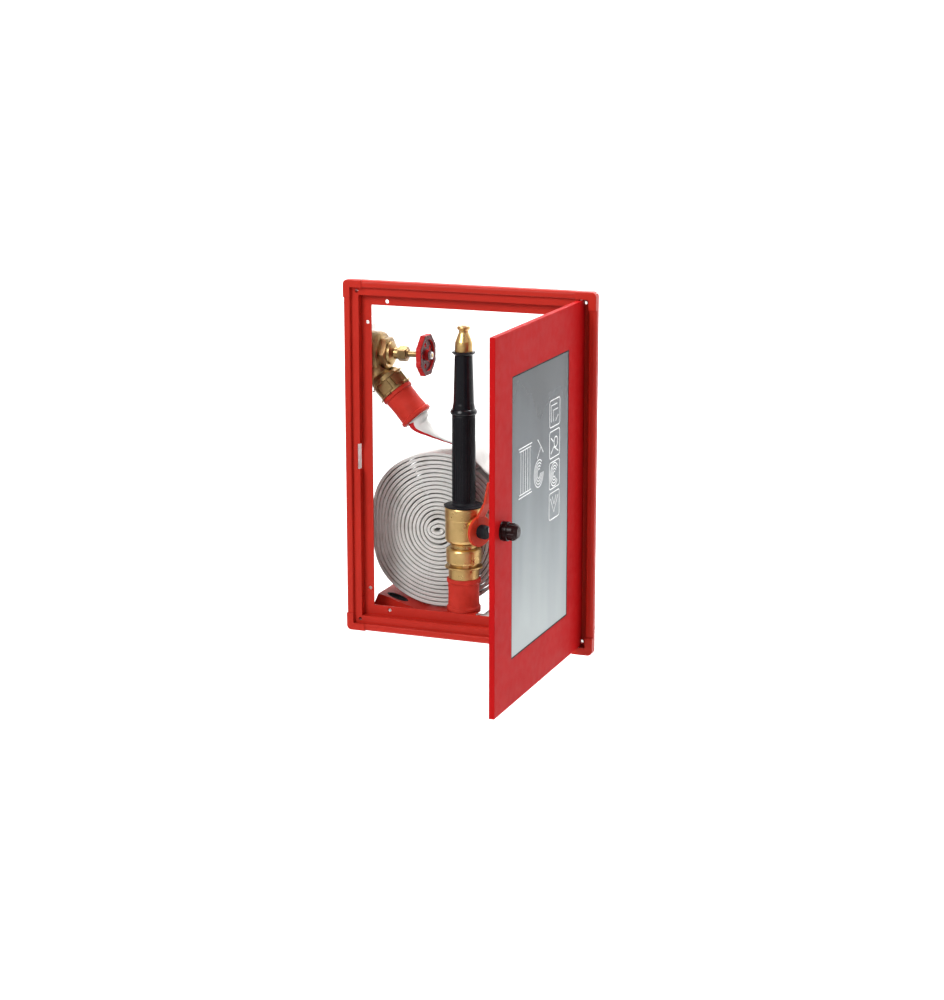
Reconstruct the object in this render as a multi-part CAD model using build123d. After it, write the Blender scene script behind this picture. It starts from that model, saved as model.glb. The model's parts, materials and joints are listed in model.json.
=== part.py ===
"""Recessed fire-hose cabinet: red frame and open windowed door, angle valve, rolled hose, branch pipe.

Units are millimetres. X runs to the right, Y into the wall, Z up. The wall face is y = 0 and the
frame's front looks along -Y. The origin is the centre of the four frame fixing holes at the wall face.
"""
import os
from math import cos, radians, sin, sqrt

from build123d import *

os.makedirs("parts", exist_ok=True)

# ---------------------------------------------------------------- frame
FRAME_W = 476.0                # outer width of the trim
FRAME_H = 650.0                # outer height of the trim
TRIM_W = 13.5                  # width of the raised outer trim
TRIM_FRONT = -14.0             # front plane of the rail trim
CORNER_FRONT = -15.4           # latch-side corner pieces stand a little proud of the rails
HINGE_CORNER_FRONT = -17.0     # hinge-side ones are thicker, to hold the pins
WALL_T = 2.0                   # wall thickness of the rail section
REBATE_U = 27.5                # the door rebate ends this far in from the outer edge
REBATE_Y = -7.0                # floor of the door rebate
HEEL_Y = 1.0                   # deeper floor on the hinge side, clear of the door's heel
FLANGE_U = 46.4                # inner edge of the inner flange
FLANGE_Y = 7.0                 # front face of the inner flange
LEG_X = 36.0                   # horizontal leg of a corner piece
LEG_X_HINGE = 38.0             # the same on the hinge side, long enough for the heel pocket
LEG_Z = 32.0                   # vertical leg of a corner piece
FIX_U = 24.0                   # fixing hole, in from the outer side
FIX_V = 21.0                   # fixing hole, in from the outer top or bottom
FIX_R = 3.25
BOSS_FRONT = -0.6              # the hinge-side bosses come forward to here, clear of the heel
FLANGE_HOLE_R = 3.5
STRIKE_Z = 2.0                 # middle of the latch slot
STRIKE_LEN = 47.0

# ---------------------------------------------------------------- recess liner
LINER_T = 1.2
LINER_U = 11.5                 # inner face of the liner, in from the frame's outer edge
LINER_DEPTH = 86.0             # how far the sides reach behind the wall face
SHELF_DEPTH = 118.0            # the bottom is deeper: it carries the coil
LINER_RIGHT = 207.0            # inner face of the wall on the hinge side
LINER_TOP = 309.0              # inner face of the top
LINER_FRONT = 9.4              # the top and right walls begin behind the inner flange

# ---------------------------------------------------------------- door
DOOR_W = 446.0
DOOR_H = 620.0
DOOR_T = 9.6
DOOR_SKIN = 1.2
DOOR_FRONT = -17.0             # outer face when the door is shut
PIVOT_X = 211.0
PIVOT_Y = -14.0
HEEL_CHAMFER = 5.0
WIN_X0, WIN_X1 = -144.5, 138.0
WIN_Z0, WIN_Z1 = -232.0, 236.0
GASKET_W = 2.6
PANE_T = 3.0
KNOB_X = -189.0                # knob axis when the door is shut
KNOB_Z = -5.0
PIN_R = 2.0
RUN = 0.05                     # radial clearance of a running fit

# ---------------------------------------------------------------- angle valve
VALVE_Y = 61.0
VALVE_Z = 184.0
DRUM_R = 38.3
OUT_ANGLE = 48.0               # the outlet points this far below horizontal
OUT_X, OUT_Z = -186.0, 134.7   # where the outlet coupling begins on its axis
STEM_R = 5.5
STEM_THREAD_R = 8.0
WHEEL_X = -108.0
WHEEL_R = 37.0
THREAD_R = 23.9                # 1 1/2 inch pipe thread

# ---------------------------------------------------------------- hose
COIL_X, COIL_Z = -91.3, -145.4
COIL_Y0 = 74.0                 # front edge of the rolled hose
HOSE_FLAT = 72.0               # width of the 45 mm hose when it lies flat
COIL_R = 147.5

# ---------------------------------------------------------------- branch pipe
NOZ_X, NOZ_Y = -25.5, 36.0
BALL_Z = -124.0
BALL_R = 21.0
LEVER_TURN = 24.0              # the lever's axis points this far forward of +X


def box(x0, x1, y0, y1, z0, z1):
    """Axis-aligned block between two corners."""
    block = Box(x1 - x0, y1 - y0, z1 - z0)
    return block.moved(Location(((x0 + x1) / 2, (y0 + y1) / 2, (z0 + z1) / 2)))


def turned(points, at=(0, 0, 0), axis=(0, 0, 1)):
    """Solid of revolution from (radius, height) points; height runs along axis from at."""
    face = make_face(Polyline(*[(r, 0, h) for r, h in points], close=True))
    solid = revolve(face, axis=Axis.Z, revolution_arc=360)
    return Plane(origin=at, z_dir=axis).location * solid


def rod(radius, start, end, at=(0, 0, 0), axis=(0, 0, 1)):
    """Cylinder between two heights along an axis."""
    body = Cylinder(radius, end - start, align=(Align.CENTER, Align.CENTER, Align.MIN))
    body = body.moved(Location((0, 0, start)))
    return Plane(origin=at, z_dir=axis).location * body


def hexagon(flats, start, end, at=(0, 0, 0), axis=(0, 0, 1), turn=0.0):
    """Hexagonal prism, given across its flats."""
    sketch = RegularPolygon(radius=flats / 2, side_count=6, major_radius=False, rotation=turn)
    prism = extrude(sketch, amount=end - start).moved(Location((0, 0, start)))
    return Plane(origin=at, z_dir=axis).location * prism


def chamfered_hex(flats, start, end, at, axis, turn=0.0):
    """Hexagon nut shape with its corners turned off at both ends."""
    corner = flats / sqrt(3)
    cut = corner - flats / 2
    cone = turned([(0, start), (corner - cut, start), (corner, start + cut * 0.6),
                   (corner, end - cut * 0.6), (corner - cut, end), (0, end)], at, axis)
    return hexagon(flats, start, end, at, axis, turn) & cone


def save(name, *shapes):
    """One file per node; several solids in one node stay separate."""
    solids = []
    for shape in shapes:
        solids += list(shape.solids())
    node = solids[0] if len(solids) == 1 else Compound(children=solids)
    node.label = name
    export_step(node, f"parts/{name}.step")


# ================================================================ frame rails and corners
def rail_section(hinge_side=False):
    """Rail profile: first coordinate in from the frame's outer edge, second into the wall."""
    floor = HEEL_Y if hinge_side else REBATE_Y
    cap = Pos(TRIM_W / 2, TRIM_FRONT / 2) * Rectangle(TRIM_W, -TRIM_FRONT)
    front = cap.vertices().sort_by(Axis.Y)[:2].sort_by(Axis.X)
    cap = fillet(front[0], 6.0)
    inner_corner = cap.vertices().sort_by(Axis.Y)[:2].sort_by(Axis.X)[-1]
    cap = fillet(inner_corner, 2.5)
    back = floor + WALL_T
    hollow = Pos(TRIM_W / 2, -5.0) * Rectangle(TRIM_W - 2 * WALL_T, 14.0)
    cap = cap - hollow
    inner_wall = Pos(TRIM_W - WALL_T / 2, back / 2) * Rectangle(WALL_T, abs(back))
    cap = cap - inner_wall if back < 0 else cap + inner_wall
    floor_w = REBATE_U - (TRIM_W - WALL_T)
    seat = Pos(TRIM_W - WALL_T + floor_w / 2, floor + WALL_T / 2) * Rectangle(floor_w, WALL_T)
    rise = FLANGE_Y + WALL_T - floor
    step = Pos(REBATE_U - WALL_T / 2, floor + rise / 2) * Rectangle(WALL_T, rise)
    lip_w = FLANGE_U - REBATE_U + WALL_T
    lip = Pos(FLANGE_U - lip_w / 2, FLANGE_Y + WALL_T / 2) * Rectangle(lip_w, WALL_T)
    return (cap + seat + step + lip).face()


def vertical_rail(side):
    """Left (side -1) or right (side +1) rail between the corner pieces."""
    hinge_side = side > 0
    half = FRAME_H / 2 - LEG_Z
    rail = extrude(rail_section(hinge_side), amount=2 * half).moved(Location((0, 0, -half)))
    trim_from = FRAME_H / 2 - FLANGE_U
    for end in (-1, 1):
        z0, z1 = sorted((end * trim_from, end * FRAME_H / 2))
        rail -= box(REBATE_U - WALL_T, FLANGE_U + 1, HEEL_Y if hinge_side else REBATE_Y, 20, z0, z1)
    for z in (-247.0, 247.0):
        rail -= rod(FLANGE_HOLE_R, 0, 20, (39.0, 0, z), (0, 1, 0))
    if hinge_side:
        rail = rail.mirror(Plane.YZ).moved(Location((FRAME_W / 2, 0, 0)))
    else:
        slot_z0 = STRIKE_Z - STRIKE_LEN / 2
        rail -= box(REBATE_U - 5, REBATE_U + 1, REBATE_Y - 1, 4.0, slot_z0, slot_z0 + STRIKE_LEN)
        for z in (-262.0, 262.0):
            rail -= rod(1.5, -4, 4, (REBATE_U, 1.0, z), (1, 0, 0))
        rail = rail.moved(Location((-FRAME_W / 2, 0, 0)))
    return rail


def horizontal_rail(side):
    """Top (side +1) or bottom (side -1) rail between the corner pieces."""
    left_end = -(FRAME_W / 2 - LEG_X)
    right_end = FRAME_W / 2 - LEG_X_HINGE
    run = extrude(rail_section(), amount=right_end - left_end)
    x_dir = (0, 0, -side)
    normal = Vector(0, 0, -side).cross(Vector(0, 1, 0))
    start = left_end if normal.X > 0 else right_end
    plane = Plane(origin=(start, 0, side * FRAME_H / 2), x_dir=x_dir, z_dir=normal)
    rail = plane.location * run
    inner = FRAME_H / 2 - REBATE_U + WALL_T
    lip_end = FRAME_W / 2 - FLANGE_U
    z0, z1 = sorted((side * inner, side * (FRAME_H / 2 - FLANGE_U - 1)))
    rail -= box(-FRAME_W / 2, -lip_end, REBATE_Y, 20, z0, z1)
    rail -= box(lip_end, FRAME_W / 2, REBATE_Y, 20, z0, z1)
    for x in (-161.0, 161.0):
        rail -= rod(FLANGE_HOLE_R, 0, 20, (x, 0, side * 286.0), (0, 1, 0))
    return rail


def corner_piece(side_x, side_z):
    """Corner connector, drawn for the lower left and mirrored into place."""
    hinge_side = side_x > 0
    leg_x = LEG_X_HINGE if hinge_side else LEG_X
    floor = HEEL_Y if hinge_side else REBATE_Y
    front = HINGE_CORNER_FRONT if hinge_side else CORNER_FRONT
    hollow = front * 0.38
    bar = box(0, leg_x, front, 0, 0, TRIM_W) + box(0, TRIM_W, front, 0, 0, LEG_Z)
    outer = bar.edges().filter_by(Axis.Y).sort_by(lambda e: e.center().X + e.center().Z)[0]
    bar = fillet(outer, 9.0)
    rim = bar.faces().sort_by(Axis.Y)[0].edges()
    bar = fillet(rim.filter_by(lambda e: e.center().X < TRIM_W / 2 or e.center().Z < TRIM_W / 2), 2.0)
    bar = bar - box(WALL_T, leg_x + 1, hollow, 1, WALL_T, TRIM_W - WALL_T)
    bar = bar - box(WALL_T, TRIM_W - WALL_T, hollow, 1, WALL_T, LEG_Z + 1)
    back = floor + WALL_T
    seat = box(TRIM_W - WALL_T, leg_x, floor, back, TRIM_W - WALL_T, REBATE_U)
    seat += box(TRIM_W - WALL_T, REBATE_U, floor, back, TRIM_W - WALL_T, LEG_Z)
    if hinge_side:
        seat += box(TRIM_W - WALL_T, TRIM_W, -2, back, TRIM_W - WALL_T, LEG_Z)
        seat += box(TRIM_W - WALL_T, leg_x, -2, back, TRIM_W - WALL_T, TRIM_W)
        seat += box(leg_x - WALL_T, leg_x, REBATE_Y, back, TRIM_W, REBATE_U)
    step_x = box(REBATE_U - WALL_T, REBATE_U, floor, FLANGE_Y + WALL_T, REBATE_U - WALL_T, FLANGE_U)
    step_z = box(REBATE_U - WALL_T, FLANGE_U, REBATE_Y if not hinge_side else floor,
                 FLANGE_Y + WALL_T, REBATE_U - WALL_T, REBATE_U)
    if hinge_side:
        step_z += box(leg_x - WALL_T, FLANGE_U, REBATE_Y, floor + 1, REBATE_U - WALL_T, REBATE_U)
    plate = box(REBATE_U - WALL_T, FLANGE_U, FLANGE_Y, FLANGE_Y + WALL_T, REBATE_U - WALL_T, FLANGE_U)
    boss = rod(6.5, min(floor, BOSS_FRONT), 5.0, (FIX_U, 0, FIX_V), (0, 1, 0))
    piece = bar + seat + step_x + step_z + plate + boss
    piece -= rod(FIX_R, -30, 30, (FIX_U, 0, FIX_V), (0, 1, 0))
    if hinge_side:
        piece -= rod(PIN_R + RUN, 5.5, TRIM_W + 1, (FRAME_W / 2 - PIVOT_X, PIVOT_Y, 0))
    if side_x > 0:
        piece = piece.mirror(Plane.YZ)
    if side_z > 0:
        piece = piece.mirror(Plane.XY)
    return piece.moved(Location((side_x * FRAME_W / 2, 0, side_z * FRAME_H / 2)))


# ================================================================ recess liner
IN_X = FRAME_W / 2 - LINER_U
IN_Z = FRAME_H / 2 - LINER_U


def liner_left():
    """Left wall with its front lip behind the rail and a notch for the valve's inlet."""
    wall = box(-IN_X - LINER_T, -IN_X, -5.0, LINER_DEPTH, -IN_Z + 8, LINER_TOP - 8)
    lip = box(-IN_X, -IN_X + 6, -5.0, -5.0 + LINER_T, -IN_Z + 36, LINER_TOP - 36)
    sheet = wall + lip
    for z in (-200.0, 80.0):
        for y in (30.0, 70.0):
            sheet -= rod(3.5, -IN_X - 5, -IN_X + 3, (0, y, z), (1, 0, 0))
    sheet -= box(-IN_X - 5, -IN_X + 3, VALVE_Y - 28, LINER_DEPTH + 1, VALVE_Z - 28, VALVE_Z + 28)
    for y, z in RIVET_YZ:
        sheet -= rod(2.4, -IN_X - 5, -IN_X + 5, (0, y, z), (1, 0, 0))
    return sheet


def liner_right():
    """Right wall with its front lip turned out behind the flange."""
    x0, x1 = LINER_RIGHT, LINER_RIGHT + LINER_T
    sheet = box(x0, x1, LINER_FRONT, LINER_DEPTH, -IN_Z + 8, LINER_TOP - 8)
    sheet += box(x0, x1 + 13, LINER_FRONT, LINER_FRONT + LINER_T, -IN_Z + 36, LINER_TOP - 36)
    for z in (-200.0, 200.0):
        for y in (30.0, 70.0):
            sheet -= rod(3.5, x0 - 3, x1 + 3, (0, y, z), (1, 0, 0))
    return sheet


def plate_ends(z0, z1):
    """Small turned ends by which a liner plate meets both side walls."""
    left = box(-IN_X, -IN_X + LINER_T, 12.0, LINER_DEPTH - 1.5, z0, z1)
    return left + box(LINER_RIGHT - LINER_T, LINER_RIGHT, 12.0, LINER_DEPTH - 1.5, z0, z1)


def liner_top():
    """Top cover with a front lip turned up and a rear lip turned down."""
    x0, x1 = -IN_X - LINER_T, LINER_RIGHT + LINER_T
    plate = box(x0, x1, LINER_FRONT, LINER_DEPTH, LINER_TOP, LINER_TOP + LINER_T)
    plate += box(x0 + 30, x1 - 30, LINER_FRONT, LINER_FRONT + LINER_T, LINER_TOP, LINER_TOP + 11)
    plate += box(x0, x1, LINER_DEPTH - LINER_T, LINER_DEPTH, LINER_TOP - 6, LINER_TOP)
    return plate + plate_ends(LINER_TOP - 7.9, LINER_TOP)


def liner_shelf():
    """Deep bottom shelf that the saddle and the bracket of the branch pipe stand on."""
    x0, x1 = -IN_X - LINER_T, LINER_RIGHT + LINER_T
    plate = box(x0, x1, 3.0, SHELF_DEPTH, -IN_Z - LINER_T, -IN_Z)
    plate += box(x0 + 30, x1 - 30, -5.0, 3.0, -IN_Z - LINER_T, -IN_Z)
    plate += box(x0 + 30, x1 - 30, -5.0, -5.0 + LINER_T, -IN_Z, -IN_Z + 12)
    plate += box(x0, x1, SHELF_DEPTH - LINER_T, SHELF_DEPTH, -IN_Z, -IN_Z + 6)
    for x, y in FOOT_XY:
        plate -= rod(2.4, -IN_Z - 5, -IN_Z + 5, (x, y, 0))
    return plate + plate_ends(-IN_Z, -IN_Z + 7.9)


def bulkhead_plate():
    """Stiff plate on the left wall that carries the valve's inlet."""
    x0 = -IN_X
    plate = box(x0, x0 + 3.0, VALVE_Y - 41, VALVE_Y + 39, VALVE_Z - 47, VALVE_Z + 47)
    plate = fillet(plate.edges().filter_by(Axis.X), 8.0)
    plate -= rod(NECK_R + 0.1, x0 - 2, x0 + 6, (0, VALVE_Y, VALVE_Z), (1, 0, 0))
    for y, z in RIVET_YZ:
        plate -= rod(2.4, x0 - 2, x0 + 6, (0, y, z), (1, 0, 0))
    return plate


RIVET_YZ = [(VALVE_Y - 33, VALVE_Z - 40), (VALVE_Y - 33, VALVE_Z + 40), (VALVE_Y + 17, VALVE_Z + 40)]


def rivet(at, axis, grip):
    """Domed rivet: head at the start, tail after the grip length."""
    return turned([(0, -1.6), (2.6, -1.4), (4.2, 0), (2.4, 0), (2.4, grip), (3.4, grip),
                   (3.0, grip + 1.2), (0, grip + 1.4)], at, axis)


# ================================================================ hose saddle and nozzle rest
SADDLE_T = 2.5
PEAK_X, PEAK_Z = -199.0, -267.6
SADDLE_SLOPE = 0.30
SEAT_TOP = -293.3              # flat seat right under the coil
SEAT_END = -52.0
APRON_LOW = -292.5             # lower edge of the apron between its two legs
SADDLE_FRONT = 46.0
SADDLE_BACK = 116.0


def saddle():
    """Bent plate that carries the coil: a foot, a sloping wing with an apron, a flat seat and a foot."""
    floor = -IN_Z
    foot_z = floor + SADDLE_T / 2
    seat_z = SEAT_TOP - SADDLE_T / 2
    bend_x = PEAK_X + (PEAK_Z - SEAT_TOP) / SADDLE_SLOPE
    line = [(PEAK_X - 5, foot_z), (PEAK_X - 19, foot_z), (PEAK_X, PEAK_Z - SADDLE_T / 2), (bend_x, seat_z),
            (SEAT_END, seat_z), (SEAT_END + 5, foot_z), (SEAT_END + 28, foot_z)]
    plate = None
    for start, end in zip(line, line[1:]):
        strip = sheet_strip(start, end, SADDLE_FRONT, SADDLE_BACK, SADDLE_T)
        plate = strip if plate is None else plate + strip
    peak = (PEAK_X + 0.2, PEAK_Z - 0.6)
    outline = [(PEAK_X - 18.5, floor + 1), peak, (bend_x, seat_z), (bend_x, floor + 1)]
    window = [(PEAK_X - 4, floor), (PEAK_X - 4, APRON_LOW), (bend_x + 1, APRON_LOW), (bend_x + 1, floor)]
    plate += apron_sheet(outline) - apron_sheet(window)
    plate -= pad_hole(1.0, 30.0)
    plate -= box(-260, 100, 0, 200, floor - 5, floor)
    for x, y in FOOT_XY:
        plate -= rod(2.4, floor - 1, floor + 6, (x, y, 0))
    return plate


def apron_sheet(outline):
    """Flat piece of the saddle's front apron."""
    face = make_face(Polyline(*[(x, SADDLE_FRONT, z) for x, z in outline], close=True))
    return extrude(face, amount=2.0, dir=(0, 1, 0))


def sheet_strip(a, b, y0, y1, thick):
    """Flat strip of sheet between two points of a profile, rounded over at both bends."""
    dx, dz = b[0] - a[0], b[1] - a[1]
    length = sqrt(dx * dx + dz * dz)
    plane = Plane(origin=(a[0], y0, a[1]), x_dir=(dx / length, 0, dz / length), z_dir=(0, 1, 0))
    slot = Pos(length / 2, 0) * SlotCenterToCenter(length, thick)
    return plane.location * extrude(slot, amount=y1 - y0)


def wing_point(x):
    """Upper face of the left wing."""
    return PEAK_Z - SADDLE_SLOPE * (x - PEAK_X)


def pad_plane():
    """Plane of the left wing at the middle of its oval window."""
    length = sqrt(1 + SADDLE_SLOPE ** 2)
    x_dir = (1 / length, 0, -SADDLE_SLOPE / length)
    return Plane(origin=(-169.0, 66.0, wing_point(-169.0)), x_dir=x_dir,
                 z_dir=(SADDLE_SLOPE / length, 0, 1 / length))


def pad_hole(grow, reach):
    """Oval window through the wing, 42 by 26 with the rubber pad's play added."""
    oval = Ellipse(21.0 + grow * 0.3, 13.0 + grow * 0.3)
    return pad_plane().location * extrude(oval, amount=reach, both=True)


def saddle_pad():
    """Rubber pad clipped into the wing's window; its flange sits under the plate."""
    core = extrude(Ellipse(21.3, 13.3), amount=SADDLE_T + 3.0).moved(Location((0, 0, -SADDLE_T - 3.2)))
    flange = extrude(Ellipse(25.0, 16.5), amount=2.4).moved(Location((0, 0, -SADDLE_T - 2.6)))
    hollow = extrude(Ellipse(18.0, 10.0), amount=8.0).moved(Location((0, 0, -3.0)))
    return pad_plane().location * (core + flange - hollow)


FOOT_XY = [(PEAK_X - 12, 62.0), (PEAK_X - 12, 104.0), (SEAT_END + 18, 62.0), (SEAT_END + 18, 104.0)]


def nozzle_rest():
    """Bracket behind the bottom flange on which the branch pipe's sleeve stands."""
    top = NOZ_BOTTOM
    tab = box(NOZ_X - 31, NOZ_X + 31, FLANGE_Y + WALL_T, FLANGE_Y + WALL_T + 2, -IN_Z + 2, top)
    seat = box(NOZ_X - 31, NOZ_X + 31, FLANGE_Y + WALL_T, NOZ_Y, top - 2, top)
    seat += rod(31.0, top - 2, top, (NOZ_X, NOZ_Y, 0))
    seat -= box(NOZ_X - 40, NOZ_X + 40, -40, FLANGE_Y + WALL_T, top - 5, top + 5)
    seat -= rod(25.5, top - 6, top + 6, (NOZ_X, NOZ_Y, 0))
    return (tab + seat) - rod(25.5, -IN_Z + 3, top + 6, (NOZ_X, NOZ_Y, 0))


# ================================================================ angle valve
AXIS_V = (1, 0, 0)
OUT_DIR = (cos(radians(OUT_ANGLE)), 0, -sin(radians(OUT_ANGLE)))
OUT_AT = (OUT_X, VALVE_Y, OUT_Z)
SLEEVE_END = 90.4             # outlet sleeve's far end, along the outlet's axis
VALVE_AT = (0, VALVE_Y, VALVE_Z)
SEAT_X = -211.0
STUB_END = -254.0              # outer end of the supply thread
NECK_R = 24.6                  # neck in the bulkhead and the locknut
RELIEF_R = 22.8                # thread relief between the two
DRUM_END = -190.0


def valve_body():
    """Cast body: threaded inlet, drum and an outlet branch at its angle."""
    shoulder = -IN_X + 3.0
    drum = turned([(0, STUB_END), (THREAD_R - 1.5, STUB_END), (THREAD_R, STUB_END + 1.5),
                   (THREAD_R, STUB_END + 15.0), (RELIEF_R, STUB_END + 15.5), (RELIEF_R, STUB_END + 17.1),
                   (NECK_R, STUB_END + 17.3), (NECK_R, shoulder),
                   (35.5, shoulder), (DRUM_R, shoulder + 3), (DRUM_R, -197), (36.6, -192),
                   (33.6, DRUM_END), (0, DRUM_END)], VALVE_AT, AXIS_V)
    branch = turned([(0, -38), (24.0, -38), (24.0, -12), (28.5, -5), (28.5, 0), (0, 0)], OUT_AT, OUT_DIR)
    branch += Sphere(31.0).moved(Location((-208.0, VALVE_Y, 158.0)))
    branch -= rod(32.0, DRUM_END, DRUM_END + 40, VALVE_AT, AXIS_V)
    branch = branch & box(shoulder, 0, 0, 200, 0, 300)
    spigot = rod(THREAD_R, 0, 14, OUT_AT, OUT_DIR)
    body = drum + branch + spigot
    body -= rod(31.0, SEAT_X - 1.5, DRUM_END + 1, VALVE_AT, AXIS_V)
    body -= rod(17.0, STUB_END - 1, -200, VALVE_AT, AXIS_V)
    body -= rod(18.5, STUB_END - 1, -216, VALVE_AT, AXIS_V)
    body -= rod(17.5, -34, 15, OUT_AT, OUT_DIR)
    body += turned([(17.0, SEAT_X - 2), (22.0, SEAT_X - 2), (20.5, SEAT_X), (17.0, SEAT_X)], VALVE_AT, AXIS_V)
    return body


def valve_bonnet():
    """Hexagonal bonnet with the stem's thread and the gland's neck."""
    shape = chamfered_hex(54.0, DRUM_END, -177.5, VALVE_AT, AXIS_V, 30)
    shape += turned([(0, -178), (22.0, -178), (21.0, -173), (10.7, -168), (10.7, -160),
                     (9.0, -160), (9.0, -150), (0, -150)], VALVE_AT, AXIS_V)
    shape += turned([(22.0, DRUM_END - 7), (31.0, DRUM_END - 7), (31.0, DRUM_END), (26.0, DRUM_END + 2),
                     (22.0, DRUM_END + 2)], VALVE_AT, AXIS_V)
    shape -= rod(22.0, DRUM_END - 8, -185.0, VALVE_AT, AXIS_V)
    shape -= rod(11.5, -186, -181.0, VALVE_AT, AXIS_V)
    shape -= rod(STEM_THREAD_R + RUN, -182, -162.0, VALVE_AT, AXIS_V)
    shape -= rod(7.0, -163, -149, VALVE_AT, AXIS_V)
    return shape


def gland_nut():
    """Packing nut on the bonnet's neck."""
    nut = chamfered_hex(25.0, -160, -144, VALVE_AT, AXIS_V, 0)
    nut += turned([(0, -144.5), (9.0, -144.5), (8.0, -142), (0, -142)], VALVE_AT, AXIS_V)
    nut -= rod(9.0, -161, -150, VALVE_AT, AXIS_V)
    return nut - rod(STEM_R + RUN, -152, -140, VALVE_AT, AXIS_V)


def gland_packing():
    """Packing ring around the stem."""
    return rod(7.0, -161.5, -150.0, VALVE_AT, AXIS_V) - rod(STEM_R + RUN, -163, -149, VALVE_AT, AXIS_V)


def valve_disc():
    """Disc with its washer face; it slides and doesn't turn."""
    disc = turned([(0, SEAT_X + 0.05), (19.0, SEAT_X + 0.05), (19.0, SEAT_X + 3), (21.0, SEAT_X + 3),
                   (21.0, SEAT_X + 9), (10.5, SEAT_X + 11), (10.5, SEAT_X + 16), (0, SEAT_X + 16)],
                   VALVE_AT, AXIS_V)
    return disc - rod(STEM_R + RUN, SEAT_X + 5, SEAT_X + 18, VALVE_AT, AXIS_V)


def spindle():
    """Stem: plain shank, thread in the bonnet, seat for the handwheel and a threaded tip."""
    return turned([(0, SEAT_X + 5.4), (STEM_R, SEAT_X + 5.4), (STEM_R, SEAT_X + 18.5),
                   (STEM_THREAD_R, SEAT_X + 20), (STEM_THREAD_R, SEAT_X + 35),
                   (STEM_R, SEAT_X + 36.5), (STEM_R, WHEEL_X - 7), (4.0, WHEEL_X - 7),
                   (4.0, WHEEL_X + 12), (3.4, WHEEL_X + 12.8), (0, WHEEL_X + 12.8)], VALVE_AT, AXIS_V)


def handwheel():
    """Cast wheel with eight soft lobes, a dished web and five lightening holes."""
    outline = Circle(WHEEL_R)
    for k in range(8):
        a = radians(45 * k + 22.5)
        outline = outline + Pos(30.5 * cos(a), 30.5 * sin(a)) * Circle(9.0)
    rim = extrude(outline, amount=9.5) - Cylinder(29.0, 40)
    web = Cylinder(29.5, 4.0, align=(Align.CENTER, Align.CENTER, Align.MIN)).moved(Location((0, 0, 2.0)))
    hub = Cylinder(10.0, 14.0, align=(Align.CENTER, Align.CENTER, Align.MIN)).moved(Location((0, 0, -2.0)))
    wheel = rim + web + hub
    for k in range(5):
        a = radians(72 * k + 18)
        hole = Cylinder(4.4, 20).moved(Location((20.0 * cos(a), 20.0 * sin(a), 4)))
        wheel -= hole
    wheel -= Cylinder(4.0, 60)
    edges = wheel.edges().filter_by(lambda e: e.length > 8 and abs(e.center().Z - 9.5) < 0.01
                                    and Vector(e.center().X, e.center().Y, 0).length > 33)
    wheel = fillet(edges, 1.6)
    return Plane(origin=(WHEEL_X - 5, VALVE_Y, VALVE_Z), z_dir=AXIS_V).location * wheel


def handwheel_nut():
    """Nut that holds the wheel on the stem."""
    nut = chamfered_hex(13.0, WHEEL_X + 7, WHEEL_X + 12, VALVE_AT, AXIS_V, 15)
    return nut - rod(4.0, WHEEL_X, WHEEL_X + 20, VALVE_AT, AXIS_V)


def inlet_locknut():
    """Locknut on the inlet thread, outside the bulkhead."""
    start = -IN_X - LINER_T - 9.0
    nut = chamfered_hex(62.0, start, start + 8.9, VALVE_AT, AXIS_V, 0)
    nut += rod(27.5, start + 8.8, -IN_X, VALVE_AT, AXIS_V) - rod(THREAD_R + 2, -260, 0, VALVE_AT, AXIS_V)
    return nut - rod(NECK_R, -270, 0, VALVE_AT, AXIS_V)


# ================================================================ outlet coupling on the valve
def outlet_ring():
    """Swivel nut: two thin rims with four grip lugs each and six flat facets between them."""
    ring = turned([(THREAD_R, 0.3), (31.0, 0.3), (31.0, 2.8), (28.0, 3.3), (28.0, 24.7), (31.0, 25.2),
                   (31.0, 27.7), (24.6, 27.7), (24.6, 20.5), (THREAD_R, 20.5)], OUT_AT, OUT_DIR)
    lugs = None
    facets = None
    for k in range(4):
        lug = box(30.0, 35.0, -4.5, 4.5, 0.3, 2.8) + box(30.0, 35.0, -4.5, 4.5, 25.2, 27.7)
        lug = lug.rotate(Axis.Z, 90 * k)
        lugs = lug if lugs is None else lugs + lug
    for k in range(6):
        facet = box(26.0, 29.3, -11.0, 11.0, 5.0, 23.0).rotate(Axis.Z, 60 * k + 30)
        facets = facet if facets is None else facets + facet
    extra = (lugs + facets) - Cylinder(27.0, 200)
    upward = (sin(radians(OUT_ANGLE)), 0, cos(radians(OUT_ANGLE)))
    return ring + Plane(origin=OUT_AT, x_dir=upward, z_dir=OUT_DIR).location * extra


def hose_tail(at, axis, length, collar_r, collar_end):
    """Barbed tail: swivel head, collar and a ribbed tube for the hose."""
    points = [(16.0, 17.0), (23.6, 17.0), (23.6, 20.5), (24.6, 20.5), (24.6, 27.7), (collar_r, 27.7),
              (collar_r, collar_end), (18.9, collar_end)]
    pitch = 9.0
    count = int((length - collar_end - 4) / pitch)
    for k in range(count):
        base = collar_end + 3 + k * pitch
        points += [(18.2, base), (18.9, base + pitch - 2)]
    points += [(18.2, length), (16.0, length)]
    return turned(points, at, axis)


def coupling_gasket(at, axis):
    """Flat ring between the coupling halves."""
    return rod(22.5, 14.0, 17.0, at, axis) - rod(16.5, 13, 18, at, axis)


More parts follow.
